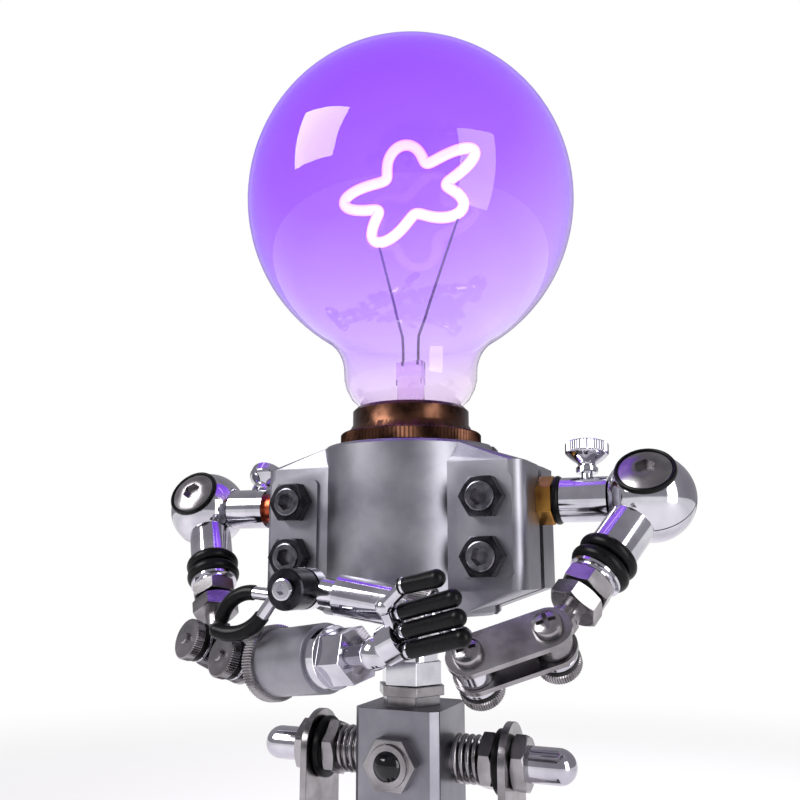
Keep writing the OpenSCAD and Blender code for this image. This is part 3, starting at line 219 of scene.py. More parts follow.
# %% Black rubber and black plastic
def moulded_black(name, tone, dust, roughness, grain_mm, grain_depth, specular):
    """A black moulding, paler where its texture holds dust. Sizes in mm."""
    material, tree, output = new_finish(name)
    place = add_node(tree, "ShaderNodeTexCoord")
    grain = add_node(tree, "ShaderNodeTexNoise", values={"Scale": 1000 / grain_mm, "Detail": 3.0},
                     links={"Vector": place.outputs["Object"]})
    shade = add_node(tree, "ShaderNodeValToRGB", links={"Fac": grain.outputs["Fac"]})
    shade.color_ramp.elements[0].position = 0.4
    shade.color_ramp.elements[0].color = linear(tone)
    shade.color_ramp.elements[1].position = 0.75
    shade.color_ramp.elements[1].color = linear(dust)
    gloss = add_node(tree, "ShaderNodeMapRange",
                     values={"To Min": roughness[0], "To Max": roughness[1]},
                     links={"Value": grain.outputs["Fac"]})
    bump = add_node(tree, "ShaderNodeBump", values={"Strength": 1.0, "Distance": grain_depth * MM},
                    links={"Height": grain.outputs["Fac"]})
    shader = add_node(tree, "ShaderNodeBsdfPrincipled",
                      values={"Specular IOR Level": specular, "IOR": 1.5},
                      links={"Base Color": shade.outputs["Color"], "Normal": bump.outputs["Normal"],
                             "Roughness": gloss.outputs["Result"]})
    tree.links.new(shader.outputs["BSDF"], output.inputs["Surface"])
    return material


black_rubber = moulded_black("moulded_black_rubber", "#070708", "#111114", (0.24, 0.4),
                             grain_mm=0.8, grain_depth=0.015, specular=0.14)
black_plastic = moulded_black("polished_phenolic", "#0B0B0D", "#151519", (0.06, 0.14),
                              grain_mm=2.0, grain_depth=0.003, specular=0.4)
print("blacks:", black_rubber.name, black_plastic.name)

# %% [markdown]
# ## Glass and glow
# The globe is thin blown glass. The lit loop's violet light is painted into it as a painted violet
# colour and a painted glow. Both are strongest towards the crown and fade to clear at the neck, so
# they grow with height. Its rim is painted darker, a painted shade for where the eye looks along the
# wall. The press that carries the wires is the same glass, a little cloudy, with a fainter painted
# glow. The loop is a soft light tube: nearly white where it faces us, violet at its rim. A Layer
# Weight node gives both rims. The glass has three faint waves to 50 mm, and the tube seven
# brighter beads to 10 mm. The cap is rolled nickel, a warm grey.

# %% Glass and the light tube
WAVE_MM = 50 / 3
BEAD_MM = 10 / 7


def blown_glass(name, clear_tint, painted_glow_colour, glow, roughness, ripple, from_z, to_z):
    """Glass with a painted glow and colour that rise upwards and to the viewer's left, and a painted
    dark rim. Heights in mm.
    """
    material, tree, output = new_finish(name)
    place = add_node(tree, "ShaderNodeTexCoord")
    waves = add_node(tree, "ShaderNodeTexNoise", values={"Scale": 1000 / WAVE_MM, "Detail": 1.0},
                     links={"Vector": place.outputs["Object"]})
    bump = add_node(tree, "ShaderNodeBump", values={"Strength": 1.0, "Distance": ripple * MM},
                    links={"Height": waves.outputs["Fac"]})
    # The painted glow: its colour and strength grow along this slant, upwards and to the viewer's
    # left.
    along = add_node(tree, "ShaderNodeVectorMath", {"operation": "DOT_PRODUCT"})
    tree.links.new(place.outputs["Object"], along.inputs[0])
    along.inputs[1].default_value = (-0.3, 0.0, 1.0)
    rise = add_node(tree, "ShaderNodeMapRange",
                    values={"From Min": from_z * MM, "From Max": to_z * MM, "To Max": glow},
                    links={"Value": along.outputs["Value"]})
    painted_glow_ramp = add_node(tree, "ShaderNodeValToRGB", links={"Fac": rise.outputs["Result"]})
    painted_glow_ramp.color_ramp.elements[0].color = linear(clear_tint)
    painted_glow_ramp.color_ramp.elements[1].position = glow
    painted_glow_ramp.color_ramp.elements[1].color = linear(painted_glow_colour)
    # A painted darker shade at the rim, where the eye looks along the wall, mixed into the glass
    # colour.
    facing = add_node(tree, "ShaderNodeLayerWeight", values={"Blend": 0.3})
    rim = add_node(tree, "ShaderNodeMapRange", values={"From Min": 0.45, "To Max": 0.75},
                   links={"Value": facing.outputs["Facing"]})
    body = add_node(tree, "ShaderNodeMixRGB", values={"Color2": linear("#7D5CC4")},
                    links={"Fac": rim.outputs["Result"], "Color1": painted_glow_ramp.outputs["Color"]})
    # The emission is the painted glow, which the glass shows though it is no lamp.
    shader = add_node(tree, "ShaderNodeBsdfPrincipled",
                      values={"Roughness": roughness, "IOR": 1.46, "Transmission Weight": 1.0,
                              "Emission Color": linear("#7A2CFF")},
                      links={"Normal": bump.outputs["Normal"], "Base Color": body.outputs["Color"],
                             "Emission Strength": rise.outputs["Result"]})
    tree.links.new(shader.outputs["BSDF"], output.inputs["Surface"])
    return material


def light_tube(name, core, rim, strength):
    """A glowing soft tube: bright towards the eye, coloured at its rim."""
    material, tree, output = new_finish(name)
    edge = add_node(tree, "ShaderNodeLayerWeight", values={"Blend": 0.4})
    place = add_node(tree, "ShaderNodeTexCoord")
    beads = add_node(tree, "ShaderNodeTexNoise", values={"Scale": 1000 / BEAD_MM, "Detail": 1.0},
                     links={"Vector": place.outputs["Object"]})
    tone = add_node(tree, "ShaderNodeValToRGB", links={"Fac": edge.outputs["Facing"]})
    tone.color_ramp.elements[0].position = 0.2
    tone.color_ramp.elements[0].color = linear(core)
    tone.color_ramp.elements[1].position = 0.85
    tone.color_ramp.elements[1].color = linear(rim)
    power = add_node(tree, "ShaderNodeMapRange",
                     values={"To Min": strength * 0.9, "To Max": strength * 1.1},
                     links={"Value": beads.outputs["Fac"]})
    shader = add_node(tree, "ShaderNodeBsdfPrincipled", values={"Roughness": 0.4},
                      links={"Base Color": tone.outputs["Color"],
                             "Emission Color": tone.outputs["Color"],
                             "Emission Strength": power.outputs["Result"]})
    tree.links.new(shader.outputs["BSDF"], output.inputs["Surface"])
    return material


# Both glasses carry a painted violet colour, a painted glow and a painted darker rim; the press's glow
# is fainter.
clear_glass = blown_glass("blown_glass_painted_glow", "#FAF0FA", "#B683F2", glow=0.2, roughness=0.0,
                          ripple=0.02, from_z=235, to_z=323)
press_glass = blown_glass("pressed_glass_painted_glow", "#F3E6F8", "#E6CCF5", glow=0.05, roughness=0.08,
                          ripple=0.1, from_z=226, to_z=256)
glowing_tube = light_tube("glowing_violet_tube", "#FFF6FF", "#B23CFF", 1.5)
bulb_metal = metal_finish("rolled_nickel_cap", "#C9C2B4", "#A29A8B", (0.15, 0.3), 0.9, 0.006)
print("bulb finishes:", clear_glass.name, press_glass.name, glowing_tube.name, bulb_metal.name)

# %% [markdown]
# ## Selecting, placing and riding
# Modelling operators act on whatever is selected, and loading leaves everything selected. So
# each step starts by clearing the selection. A finished piece is set down by turning it so
# that its own Z points along a given direction, and then applying that move to its mesh.

# %% Helpers for every piece
def clear_selection():
    """Nothing is selected, and we are in object mode."""
    if bpy.context.object and bpy.context.object.mode != "OBJECT":
        bpy.ops.object.mode_set(mode="OBJECT")
    bpy.ops.object.select_all(action="DESELECT")


def only(obj):
    """Selects one object and makes it active."""
    clear_selection()
    obj.select_set(True)
    bpy.context.view_layer.objects.active = obj
    return obj


def select_points(obj, wanted):
    """Selects the vertices whose place passes a test, and nothing else."""
    only(obj)
    bpy.ops.object.mode_set(mode="EDIT")
    bpy.ops.mesh.select_mode(type="VERT")
    bpy.ops.mesh.select_all(action="DESELECT")
    bpy.ops.object.mode_set(mode="OBJECT")
    for v in obj.data.vertices:
        v.select = wanted(v.co)


def apply_all(obj):
    """Applies every modifier, in order."""
    only(obj)
    for modifier in list(obj.modifiers):
        bpy.ops.object.modifier_apply(modifier=modifier.name)
    return obj


def set_down(obj, at, up=(0, 0, 1), side=None):
    """Turns the piece's Z to up and its Y towards side, moves it to at, and applies both."""
    z = Vector(up).normalized()
    y = Vector(side) if side is not None else Vector((0, 1, 0) if abs(z.y) < 0.9 else (1, 0, 0))
    y = (y - z * y.dot(z)).normalized()
    x = y.cross(z)
    obj.matrix_world = Matrix.Translation(Vector(at)) @ Matrix((x, y, z)).transposed().to_4x4()
    only(obj)
    bpy.ops.object.transform_apply(location=True, rotation=True, scale=True)
    return obj


def cut_with(obj, tool, operation="DIFFERENCE"):
    """Cuts a piece with a tool, or keeps what they share, and throws the tool away."""
    cut = obj.modifiers.new("cut", "BOOLEAN")
    cut.operation = operation
    cut.object = tool
    cut.solver = "EXACT"
    apply_all(obj)
    bpy.data.objects.remove(tool)
    return obj


def close_ends(obj):
    """Joins the turns of a wound piece, closes its open ends and points its faces outwards."""
    only(obj)
    bpy.ops.object.mode_set(mode="EDIT")
    bpy.ops.mesh.select_all(action="SELECT")
    bpy.ops.mesh.remove_doubles(threshold=1e-6)
    bpy.ops.mesh.fill_holes(sides=0)
    bpy.ops.mesh.select_all(action="SELECT")
    bpy.ops.mesh.normals_make_consistent(inside=False)
    bpy.ops.object.mode_set(mode="OBJECT")
    return obj


def smooth(obj, degrees):
    """Shades smooth over soft bends, and keeps the large flat faces flat."""
    only(obj)
    bpy.ops.object.shade_smooth_by_angle(angle=math.radians(degrees))
    flat = obj.modifiers.new("flat_faces", "WEIGHTED_NORMAL")
    flat.mode = "FACE_AREA"
    flat.keep_sharp = True
    return apply_all(obj)


def finish_piece(obj, finish, body, replaces=()):
    """Gives a piece its finish and its body, and hides the CAD nodes it stands for."""
    obj.data.materials.clear()
    obj.data.materials.append(finish)
    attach(obj, body)
    for node in replaces:
        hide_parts(node)
    return obj


def copy_of(obj, name):
    """A copy with a mesh of its own."""
    twin = obj.copy()
    twin.data = obj.data.copy()
    twin.name = name
    bpy.context.scene.collection.objects.link(twin)
    return twin


print("helpers ready")

# %% [markdown]
# ## Turned pieces
# Most of this lamp was made on a lathe. A turned piece starts as a circle, which is extruded
# and resized ring by ring along its profile. Spin would do too, but it can turn a shape
# inside out. A profile that comes back to its first point makes a ring with a hole; one that
# doesn't makes a solid knob.

# %% A lathe
def turned(name, profile, sides=64, ring=False):
    """Turns a profile of (radius, height) points in mm about Z."""
    clear_selection()
    radius, height = profile[0]
    bpy.ops.mesh.primitive_circle_add(vertices=sides, radius=radius * MM,
                                      location=(0, 0, height * MM),
                                      fill_type="NOTHING" if ring else "NGON")
    obj = bpy.context.object
    obj.name = name
    bpy.ops.object.transform_apply(location=True, rotation=True, scale=True)
    bpy.ops.object.mode_set(mode="EDIT")
    bpy.ops.mesh.select_all(action="SELECT")
    path = profile + [profile[0]] if ring else profile
    for (r0, z0), (r1, z1) in zip(path, path[1:]):
        bpy.ops.mesh.extrude_region_move(TRANSFORM_OT_translate={"value": (0, 0, (z1 - z0) * MM)})
        bpy.ops.transform.resize(value=(r1 / r0, r1 / r0, 1), center_override=(0, 0, z1 * MM))
    bpy.ops.mesh.select_all(action="SELECT")
    bpy.ops.mesh.remove_doubles(threshold=1e-6)
    bpy.ops.mesh.normals_make_consistent(inside=False)
    bpy.ops.object.mode_set(mode="OBJECT")
    return obj


def knurled(name, radius, height, bore, teeth, depth, chamfer):
    """A disc with a straight knurl round its rim. Sizes in mm."""
    edge = radius - chamfer
    flat = edge - 0.6
    obj = turned(name, [(bore, 0), (flat, 0), (edge, 0), (radius, chamfer), (radius, height - chamfer),
                        (edge, height), (flat, height), (bore, height)], sides=2 * teeth, ring=True)
    select_points(obj, lambda co: math.hypot(co.x, co.y) / MM > edge - 0.1
                  and round(math.atan2(co.y, co.x) / (math.pi / teeth)) % 2 == 1)
    bpy.ops.object.mode_set(mode="EDIT")
    narrower = (radius - depth) / radius
    bpy.ops.transform.resize(value=(narrower, narrower, 1), center_override=(0, 0, 0))
    bpy.ops.object.mode_set(mode="OBJECT")
    return obj


def hexagon_nut(name, flats, height, bore, both_ends=True):
    """A hexagon nut with its corners turned off at one end or both. Sizes in mm."""
    clear_selection()
    corner = flats / 2 / math.cos(math.radians(30))
    bpy.ops.mesh.primitive_cylinder_add(vertices=6, radius=corner * MM, depth=height * MM,
                                        location=(0, 0, height * MM / 2),
                                        rotation=(0, 0, math.radians(30)))
    nut = bpy.context.object
    nut.name = name
    bpy.ops.object.transform_apply(location=True, rotation=True, scale=True)
    cut = flats / 2 * 0.96
    drop = (corner - cut) * 0.5
    low_r, low_z = (cut, drop) if both_ends else (corner, 0.01)
    wide = corner + 0.05
    cutter = turned("corner_cutter", [(bore, -0.1), (low_r, -0.01), (wide, low_z),
                                      (wide, height - drop), (cut, height + 0.01),
                                      (bore, height + 0.1)], sides=48, ring=True)
    return cut_with(nut, cutter, "INTERSECT")


print("a 10 mm nut is", round(10 / math.cos(math.radians(30)), 2), "mm across its corners")

# %% [markdown]
# ## Dressing the CAD parts
# A CAD edge is perfectly sharp, and a real one never is. So each solid that keeps its shape
# is copied, its loose triangles are joined and its flat faces cleaned up, and a bevel of
# about a quarter of a millimetre is put along its edges. That thin rounded band is what
# catches the light on machined metal.

# %% Copy a solid and round its edges
SOFT_BEND = 35


def dress(node, finish, edge_mm):
    """A copy of a CAD node with joined faces and rounded edges, standing in its place."""
    source = frame["nodes"][node]
    obj = bpy.data.objects.new(node + "_dressed", source.data.copy())
    bpy.context.scene.collection.objects.link(obj)
    only(obj)
    if obj.data.has_custom_normals:
        bpy.ops.mesh.customdata_custom_splitnormals_clear()
    bpy.ops.object.mode_set(mode="EDIT")
    bpy.ops.mesh.select_all(action="SELECT")
    bpy.ops.mesh.remove_doubles(threshold=2e-6)
    bpy.ops.mesh.dissolve_limited(angle_limit=math.radians(0.8))
    bpy.ops.object.mode_set(mode="OBJECT")
    if edge_mm:
        bevel = obj.modifiers.new("rounded_edges", "BEVEL")
        bevel.width = edge_mm * MM
        bevel.segments = 2
        bevel.limit_method = "ANGLE"
        bevel.angle_limit = math.radians(SOFT_BEND)
        bevel.use_clamp_overlap = True
        apply_all(obj)
    smooth(obj, SOFT_BEND)
    return finish_piece(obj, finish, source["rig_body"], [node])


for node, finish, slot, edge in [
    ("front_shell", blasted_aluminium, "blasted_aluminium", 0.35),
    ("rear_shell", blasted_aluminium, "blasted_aluminium", 0.35),
    ("hip_block", blasted_aluminium, "blasted_aluminium", 0.3),
    ("chest_spacers", black_oxide, "black_steel", 0),
    ("waist_stem", chromed_steel, "chrome", 0.2),
    ("waist_nuts", nickel_steel, "steel", 0.2),
    ("switch_bezel", nickel_steel, "steel", 0.25),
    ("switch_button", black_plastic, "black_plastic", 0.15),
    ("cable_gland", black_plastic, "black_plastic", 0.2),
    ("hip_axle", nickel_steel, "steel", 0),
    ("cap_nuts", chromed_steel, "chrome", 0),
    ("bulb_cap", bulb_metal, "bulb_metal", 0),
    ("glass_stem", press_glass, "clear_glass", 0),
    ("lamp_holder", dark_bronze, "dark_bronze", 0.3),
    ("forearm_left", blasted_aluminium, "blasted_aluminium", 0.2),
    ("forearm_nut_left", chromed_steel, "chrome", 0.25),
    ("wrist_ball_left", chromed_steel, "chrome", 0),
    ("forearm_right", chromed_steel, "chrome", 0.2),
    ("fingers_right", black_rubber, "black_rubber", 0),
]:
    dress(node, finish, edge)
for side in SIDES:
    for node, finish, slot, edge in [
        ("shoulder_socket", chromed_steel, "chrome", 0.2),
        ("swivel_cup", chromed_steel, "chrome", 0.2),
        ("arm_cushions", black_rubber, "black_rubber", 0),
        ("link_plates", nickel_steel, "steel", 0.25),
        ("finger_bases", chromed_steel, "chrome", 0),
        ("thigh", nickel_steel, "steel", 0.25),
        ("knee_bolts", nickel_steel, "steel", 0.2),
        ("shin", blasted_aluminium, "blasted_aluminium", 0.25),
        ("foot", blackened_steel, "dark_steel", 0.6),
    ]:
        dress(f"{node}_{side}", finish, edge)

# %% [markdown]
# ## Floor, backdrop and light
# The lamp stands on a plain pale floor that runs into a pale background. The soft boxes give
# the light a direction, and the world fills the shadows. Chrome and glass mirror whatever is
# around them, so they see the same pale room, with two soft boxes as bright patches. The one
# at the back only lights edges and shows in no mirror.

# %% Pale floor and world
FLOOR_R = 6.0
FADE_FROM, FADE_TO = 0.25, 1.1


def pale_room():
    """A pale floor that brightens to white with distance, and a white world."""
    clear_selection()
    bpy.ops.mesh.primitive_circle_add(vertices=96, radius=FLOOR_R, fill_type="NGON")
    floor = bpy.context.object
    floor.name = "floor"
    material, tree, output = new_finish("pale_floor")
    place = add_node(tree, "ShaderNodeTexCoord")
    reach = add_node(tree, "ShaderNodeVectorMath", {"operation": "LENGTH"})
    tree.links.new(place.outputs["Object"], reach.inputs[0])
    fade = add_node(tree, "ShaderNodeMapRange", {"interpolation_type": "SMOOTHSTEP"},
                    {"From Min": FADE_FROM, "From Max": FADE_TO}, {"Value": reach.outputs["Value"]})
    cloth = add_node(tree, "ShaderNodeBsdfPrincipled",
                     values={"Base Color": linear("#F2F0F2"), "Roughness": 0.7})
    white = add_node(tree, "ShaderNodeEmission", values={"Color": linear("#FFFFFF"), "Strength": 1.0})
    mix = add_node(tree, "ShaderNodeMixShader", links={"Fac": fade.outputs["Result"]})
    tree.links.new(cloth.outputs["BSDF"], mix.inputs[1])
    tree.links.new(white.outputs["Emission"], mix.inputs[2])
    tree.links.new(mix.outputs["Shader"], output.inputs["Surface"])
    floor.data.materials.append(material)
    world = bpy.data.worlds.new("pale_room")
    bpy.context.scene.world = world
    world.use_nodes = True
    tree = world.node_tree
    tree.nodes.clear()
    path = add_node(tree, "ShaderNodeLightPath")
    seen = add_node(tree, "ShaderNodeMath", {"operation": "MAXIMUM"})
    tree.links.new(path.outputs["Is Camera Ray"], seen.inputs[0])
    tree.links.new(path.outputs["Is Transmission Ray"], seen.inputs[1])
    fill = add_node(tree, "ShaderNodeBackground",
                    values={"Color": linear("#E4E1E8"), "Strength": 0.45})
    white = add_node(tree, "ShaderNodeBackground",
                     values={"Color": linear("#FFFFFF"), "Strength": 1.0})
    mix = add_node(tree, "ShaderNodeMixShader")
    tree.links.new(seen.outputs["Value"], mix.inputs[0])
    tree.links.new(fill.outputs["Background"], mix.inputs[1])
    tree.links.new(white.outputs["Background"], mix.inputs[2])
    out = add_node(tree, "ShaderNodeOutputWorld")
    tree.links.new(mix.outputs["Shader"], out.inputs["Surface"])
    return floor


print("floor:", pale_room().name)

# %% Soft boxes
def soft_box(name, at, aim, size, watts):
    """An area lamp at a place, pointed at another. Places and sizes in metres."""
    data = bpy.data.lights.new(name, "AREA")
    data.shape = "RECTANGLE"
    data.size, data.size_y = size
    data.energy = watts
    lamp = bpy.data.objects.new(name, data)
    bpy.context.scene.collection.objects.link(lamp)
    lamp.location = at
    lamp.rotation_euler = (Vector(aim) - Vector(at)).to_track_quat("-Z", "Y").to_euler()
    lamp.visible_camera = False
    lamp.visible_transmission = False
    return lamp


chest = (0, axis_y, 0.21)
soft_box("key_box", (-0.55, -0.6, 0.75), chest, (0.5, 0.5), 9)
soft_box("fill_box", (0.75, -0.35, 0.35), chest, (0.35, 0.7), 4)
soft_box("back_box", (0.1, 0.7, 0.6), chest, (0.7, 0.3), 5).visible_glossy = False

# %% [markdown]
# ## Globe
# A glass bulb is blown from one bubble: a sphere that runs through a hollow curve into a
# straight neck and tucks into the metal cap. A sphere primitive has no neck to flow into, so
# one profile is turned for both, and a Solidify modifier gives the wall its thickness.

# %% Turn the glass globe
GLOBE_R = 49.0
NECK_R = 19.5
NECK_H = 18.5
FOOT_R = 11.1
HOLLOW_R = 13.0
WALL = 0.9
TUCK = 8.5
HOLDER_TOP = 234.5
globe_centre = HOLDER_TOP + NECK_H + math.sqrt(GLOBE_R ** 2 - NECK_R ** 2)


def globe_profile():
    """Radius and height from the cap up to the crown, in mm."""
    points = [(FOOT_R, HOLDER_TOP - TUCK), (FOOT_R, HOLDER_TOP), (14.4, HOLDER_TOP + 0.4),
              (17.2, HOLDER_TOP + 3), (18.8, HOLDER_TOP + 6), (NECK_R - 0.1, HOLDER_TOP + 8.5)]
    first = math.asin((NECK_R + HOLLOW_R) / (GLOBE_R + HOLLOW_R))
    hollow_z = globe_centre - (GLOBE_R + HOLLOW_R) * math.cos(first)
    for i in range(9):
        turn = (math.pi / 2 - first) * i / 9
        points.append((NECK_R + HOLLOW_R - HOLLOW_R * math.cos(turn),
                       hollow_z + HOLLOW_R * math.sin(turn)))
    for i in range(44):
        turn = first + (math.pi - first) * i / 44
        points.append((GLOBE_R * math.sin(turn), globe_centre - GLOBE_R * math.cos(turn)))
    points.append((0.01, globe_centre + GLOBE_R))
    return points


globe = turned("globe", globe_profile(), sides=96)
select_points(globe, lambda co: co.z < (HOLDER_TOP - TUCK + 0.5) * MM)
bpy.ops.object.mode_set(mode="EDIT")
bpy.ops.mesh.delete(type="ONLY_FACE")
bpy.ops.object.mode_set(mode="OBJECT")
wall = globe.modifiers.new("glass_wall", "SOLIDIFY")
wall.thickness = WALL * MM
wall.offset = -1
apply_all(globe)
set_down(globe, (0, axis_y, 0))
smooth(globe, 60)
finish_piece(globe, clear_glass, "bulb", ["bulb_glass"])
print("globe reaches", round(globe.dimensions.z / MM, 1), "mm")

# %% [markdown]
# ## Glowing loop
# The light source is one soft tube, bent into a wide flower of five petals that leans a
# little, on two wires. A curve with a bevel makes both: its points say where the wire runs,
# and the bevel's depth is the wire's radius.

# %% Bend the light tube
PETALS = 5
PETAL_DEPTH = 0.24
LOOP_HALF_W = 23.2
LOOP_HALF_H = 15.7
LOOP_TILT = math.radians(12)
LOOP_TUBE = 1.8
LOOP_Z = globe_centre + 5


def bent_wire(name, points, radius, closed=False):
    """A round wire through points in mm, as one tube."""
    curve = bpy.data.curves.new(name, "CURVE")
    curve.dimensions = "3D"
    spline = curve.splines.new("POLY")
    spline.points.add(len(points) - 1)
    for point, place in zip(spline.points, points):
        point.co = (*[v * MM for v in place], 1)
    spline.use_cyclic_u = closed
    curve.bevel_depth = radius * MM
    curve.bevel_resolution = 4
    curve.use_fill_caps = True
    obj = bpy.data.objects.new(name, curve)
    bpy.context.scene.collection.objects.link(obj)
    only(obj)
    bpy.ops.object.convert(target="MESH")
    return bpy.context.object


def loop_point(turn):
    """The middle of the glowing tube at a turn, in mm."""
    wave = 1 - PETAL_DEPTH + PETAL_DEPTH * math.cos(PETALS * turn)
    flat = Vector((LOOP_HALF_W * wave * math.sin(turn), 0, LOOP_HALF_H * wave * math.cos(turn)))
    return Matrix.Rotation(-LOOP_TILT, 3, "Y") @ flat + Vector((0, 0, LOOP_Z))


petal_points = [loop_point(2 * math.pi * i / 180) for i in range(180)]
loop = set_down(bent_wire("glowing_loop", petal_points, LOOP_TUBE, closed=True), (0, axis_y, 0))
finish_piece(smooth(loop, 80), glowing_tube, "bulb", ["filament"])
print("the loop is", round(loop.dimensions.x / MM, 1), "mm wide")

# %% Support wires
SUPPORT_X = 2.4
SUPPORT_R = 0.4
press_top = HOLDER_TOP + NECK_H / 2 + 5
for side, sign in SIDES.items():
    tip = loop_point(sign * math.pi * (PETALS - 1) / PETALS)
    bend = Vector((sign * (SUPPORT_X + 0.2), 0, press_top + 8))
    path = [(sign * SUPPORT_X, 0, press_top - 1), (sign * SUPPORT_X, 0, press_top + 4),
            bend, bend.lerp(tip, 0.5), tip]
    support = set_down(bent_wire(f"support_wire_{side}", path, SUPPORT_R), (0, axis_y, 0))
    finish_piece(smooth(support, 60), nickel_steel, "bulb")
print("wires rise from", press_top, "mm")

# %% [markdown]
# ## Knurled rings
# A knurl is a row of fine ridges pressed into a rim so that fingers can grip it. Here every
# second line of the rim is drawn in, which gives sharp V grooves. A bump map would leave the
# outline smooth. The holder's ring, the two forearm rings, the pivot nuts and the thumb
# screws all have one.

# %% Holder ring and forearm rings
HOLDER_RING_Z = 223.0
LEFT_RING_START = 7.4
RIGHT_RING_START = 0.6
ring = knurled("knurled_holder_ring", 20.25, 4, 15.8, 110, 0.3, 0.5)
set_down(ring, (0, axis_y, HOLDER_RING_Z * MM))
finish_piece(smooth(ring, 30), dark_bronze, "torso", ["holder_ring"])

elbow = {s: joint_at(f"elbow_{s}") for s in SIDES}
second = {s: joint_at(f"forearm_pivot_{s}") for s in SIDES}
link_way = {s: (second[s] - elbow[s]).normalized() for s in SIDES}
nut_way = {"right": joint_axis("elbow_right"), "left": -joint_axis("elbow_left")}
left_forearm_way = (joint_at("wrist_turn_left") - second["left"]).normalized()
right_forearm_way = Vector((-35, 0, 5.4)).normalized()
right_forearm_base = second["right"] + Vector((-8.5, -1.9, 11.5)) * MM

ring = knurled("knurled_ring_left", 9.3, 3.59, 7.65, 84, 0.25, 0.4)
set_down(ring, second["left"] + left_forearm_way * LEFT_RING_START * MM, left_forearm_way,
         nut_way["left"])
finish_piece(smooth(ring, 30), nickel_steel, "forearm_left", ["forearm_ring_left"])
ring = knurled("knurled_ring_right", 5.9, 5, 5.05, 52, 0.2, 0.3)
set_down(ring, right_forearm_base + right_forearm_way * RIGHT_RING_START * MM, right_forearm_way)
finish_piece(smooth(ring, 30), nickel_steel, "forearm_right", ["forearm_ring_right"])

# %% [markdown]
# ## Chest bolts
# Each chest bolt has a black hexagon with a gunmetal socket screw seated in it. A bevel would
# round all of a hexagon's edges alike, so a turned shape cuts its corners, as a lathe does.
# The round head is turned, and a six-sided tool cuts its recess.

# %% Black hexagons and socket heads
PANEL_FACE = 18.8
BOLT_X = 27.5
BOLT_Z = {"upper": 207.0, "lower": 207.0 - 14.9}
BOLT_FLATS = 10
BOLT_HEX_H = 4


def socket_head(name, radius, height, recess, depth, slope=0.0):
    """A round screw head with a six-sided recess, on Z from 0 up. Its rim may slope down."""
    rim = height - slope
    flat = radius - 0.5 - 2.6 * slope
    head = turned(name, [(radius, 0), (radius, rim - 0.5), (radius - 0.15, rim - 0.2),
                         (radius - 0.5, rim), (flat - 0.01, height), (recess * 0.62, height)])
    clear_selection()
    corner = recess / 2 / math.cos(math.radians(30))
    bpy.ops.mesh.primitive_cylinder_add(vertices=6, radius=corner * MM, depth=depth * 2 * MM,
                                        location=(0, 0, height * MM))
    return cut_with(head, bpy.context.object)


hexagon = hexagon_nut("hexagon", BOLT_FLATS, BOLT_HEX_H, 3.95, both_ends=False)
head = socket_head("head", 3.9, 4.6, 4.2, 2.4)
rear_nut = hexagon_nut("rear_nut", BOLT_FLATS, BOLT_HEX_H, 3.0)
for side, sign in SIDES.items():
    for row, z in BOLT_Z.items():
        front = Vector((sign * BOLT_X * MM, axis_y - PANEL_FACE * MM, z * MM))
        rear = Vector((sign * BOLT_X * MM, axis_y + PANEL_FACE * MM, z * MM))
        stands_for = ["chest_bolts"] if (side, row) == ("right", "upper") else ()
        piece = set_down(copy_of(hexagon, f"bolt_hexagon_{row}_{side}"), front, (0, -1, 0), (0, 0, 1))
        finish_piece(smooth(piece, 30), black_oxide, "torso", stands_for)
        piece = set_down(copy_of(head, f"bolt_head_{row}_{side}"), front, (0, -1, 0), (0.3, 0, 1))
        finish_piece(smooth(piece, 30), gunmetal, "torso")
        piece = set_down(copy_of(rear_nut, f"bolt_nut_{row}_{side}"), rear, (0, 1, 0), (0, 0, 1))
        finish_piece(smooth(piece, 30), black_oxide, "torso")
        end = turned(f"bolt_end_{row}_{side}", [(2.95, 0), (2.95, 3.7), (2.6, 4)], 32)
        finish_piece(smooth(set_down(end, rear, (0, 1, 0)), 30), nickel_steel, "torso")
for spare in (hexagon, head, rear_nut):
    bpy.data.objects.remove(spare)
print("bolts set at x", BOLT_X, "mm and z", BOLT_Z)

# %% [markdown]
# ## Shoulder caps
# The two halves of each shoulder ball are held by one broad screw. Its head is a disc with
# a sloping rim and a hexagon recess, made as the bolts' heads were, and a black ring lies in
# the step round it.

# %% Cap screws and their rings
CAP_SEAT = 8.8
ball = {s: joint_at(f"arm_swivel_{s}") for s in SIDES}
rear_way = {s: joint_axis(f"arm_swivel_{s}") for s in SIDES}
for s in SIDES:
    seat = ball[s] - rear_way[s] * CAP_SEAT * MM
    disc = socket_head(f"cap_screw_{s}", 6.75, 2.2, 4.8, 1.8, 0.75)
    set_down(disc, seat, -rear_way[s], (0, 0, 1))
    finish_piece(smooth(disc, 30), nickel_steel, f"upper_arm_{s}",
                 [f"swivel_cap_{s}"])
    black_ring = turned(f"cap_ring_{s}", [(6.8, 0), (7.45, 0), (7.7, 0.3), (7.7, 1.0), (7.5, 1.4),
                                          (7.15, 1.55), (6.8, 1.4)], 64, ring=True)
    set_down(black_ring, seat, -rear_way[s])
    finish_piece(smooth(black_ring, 40), black_rubber, f"upper_arm_{s}")
print("caps face", {s: [round(-v, 2) for v in w] for s, w in rear_way.items()})

# %% [markdown]
# ## Screw threads
# A thread is one ridge that winds round a rod. A bump map would leave the rod's outline
# straight, so a small triangle is wound with the Screw modifier. Its pitch and number of
# turns come from the real thread, and it sinks a little into the rod so that no gap shows.

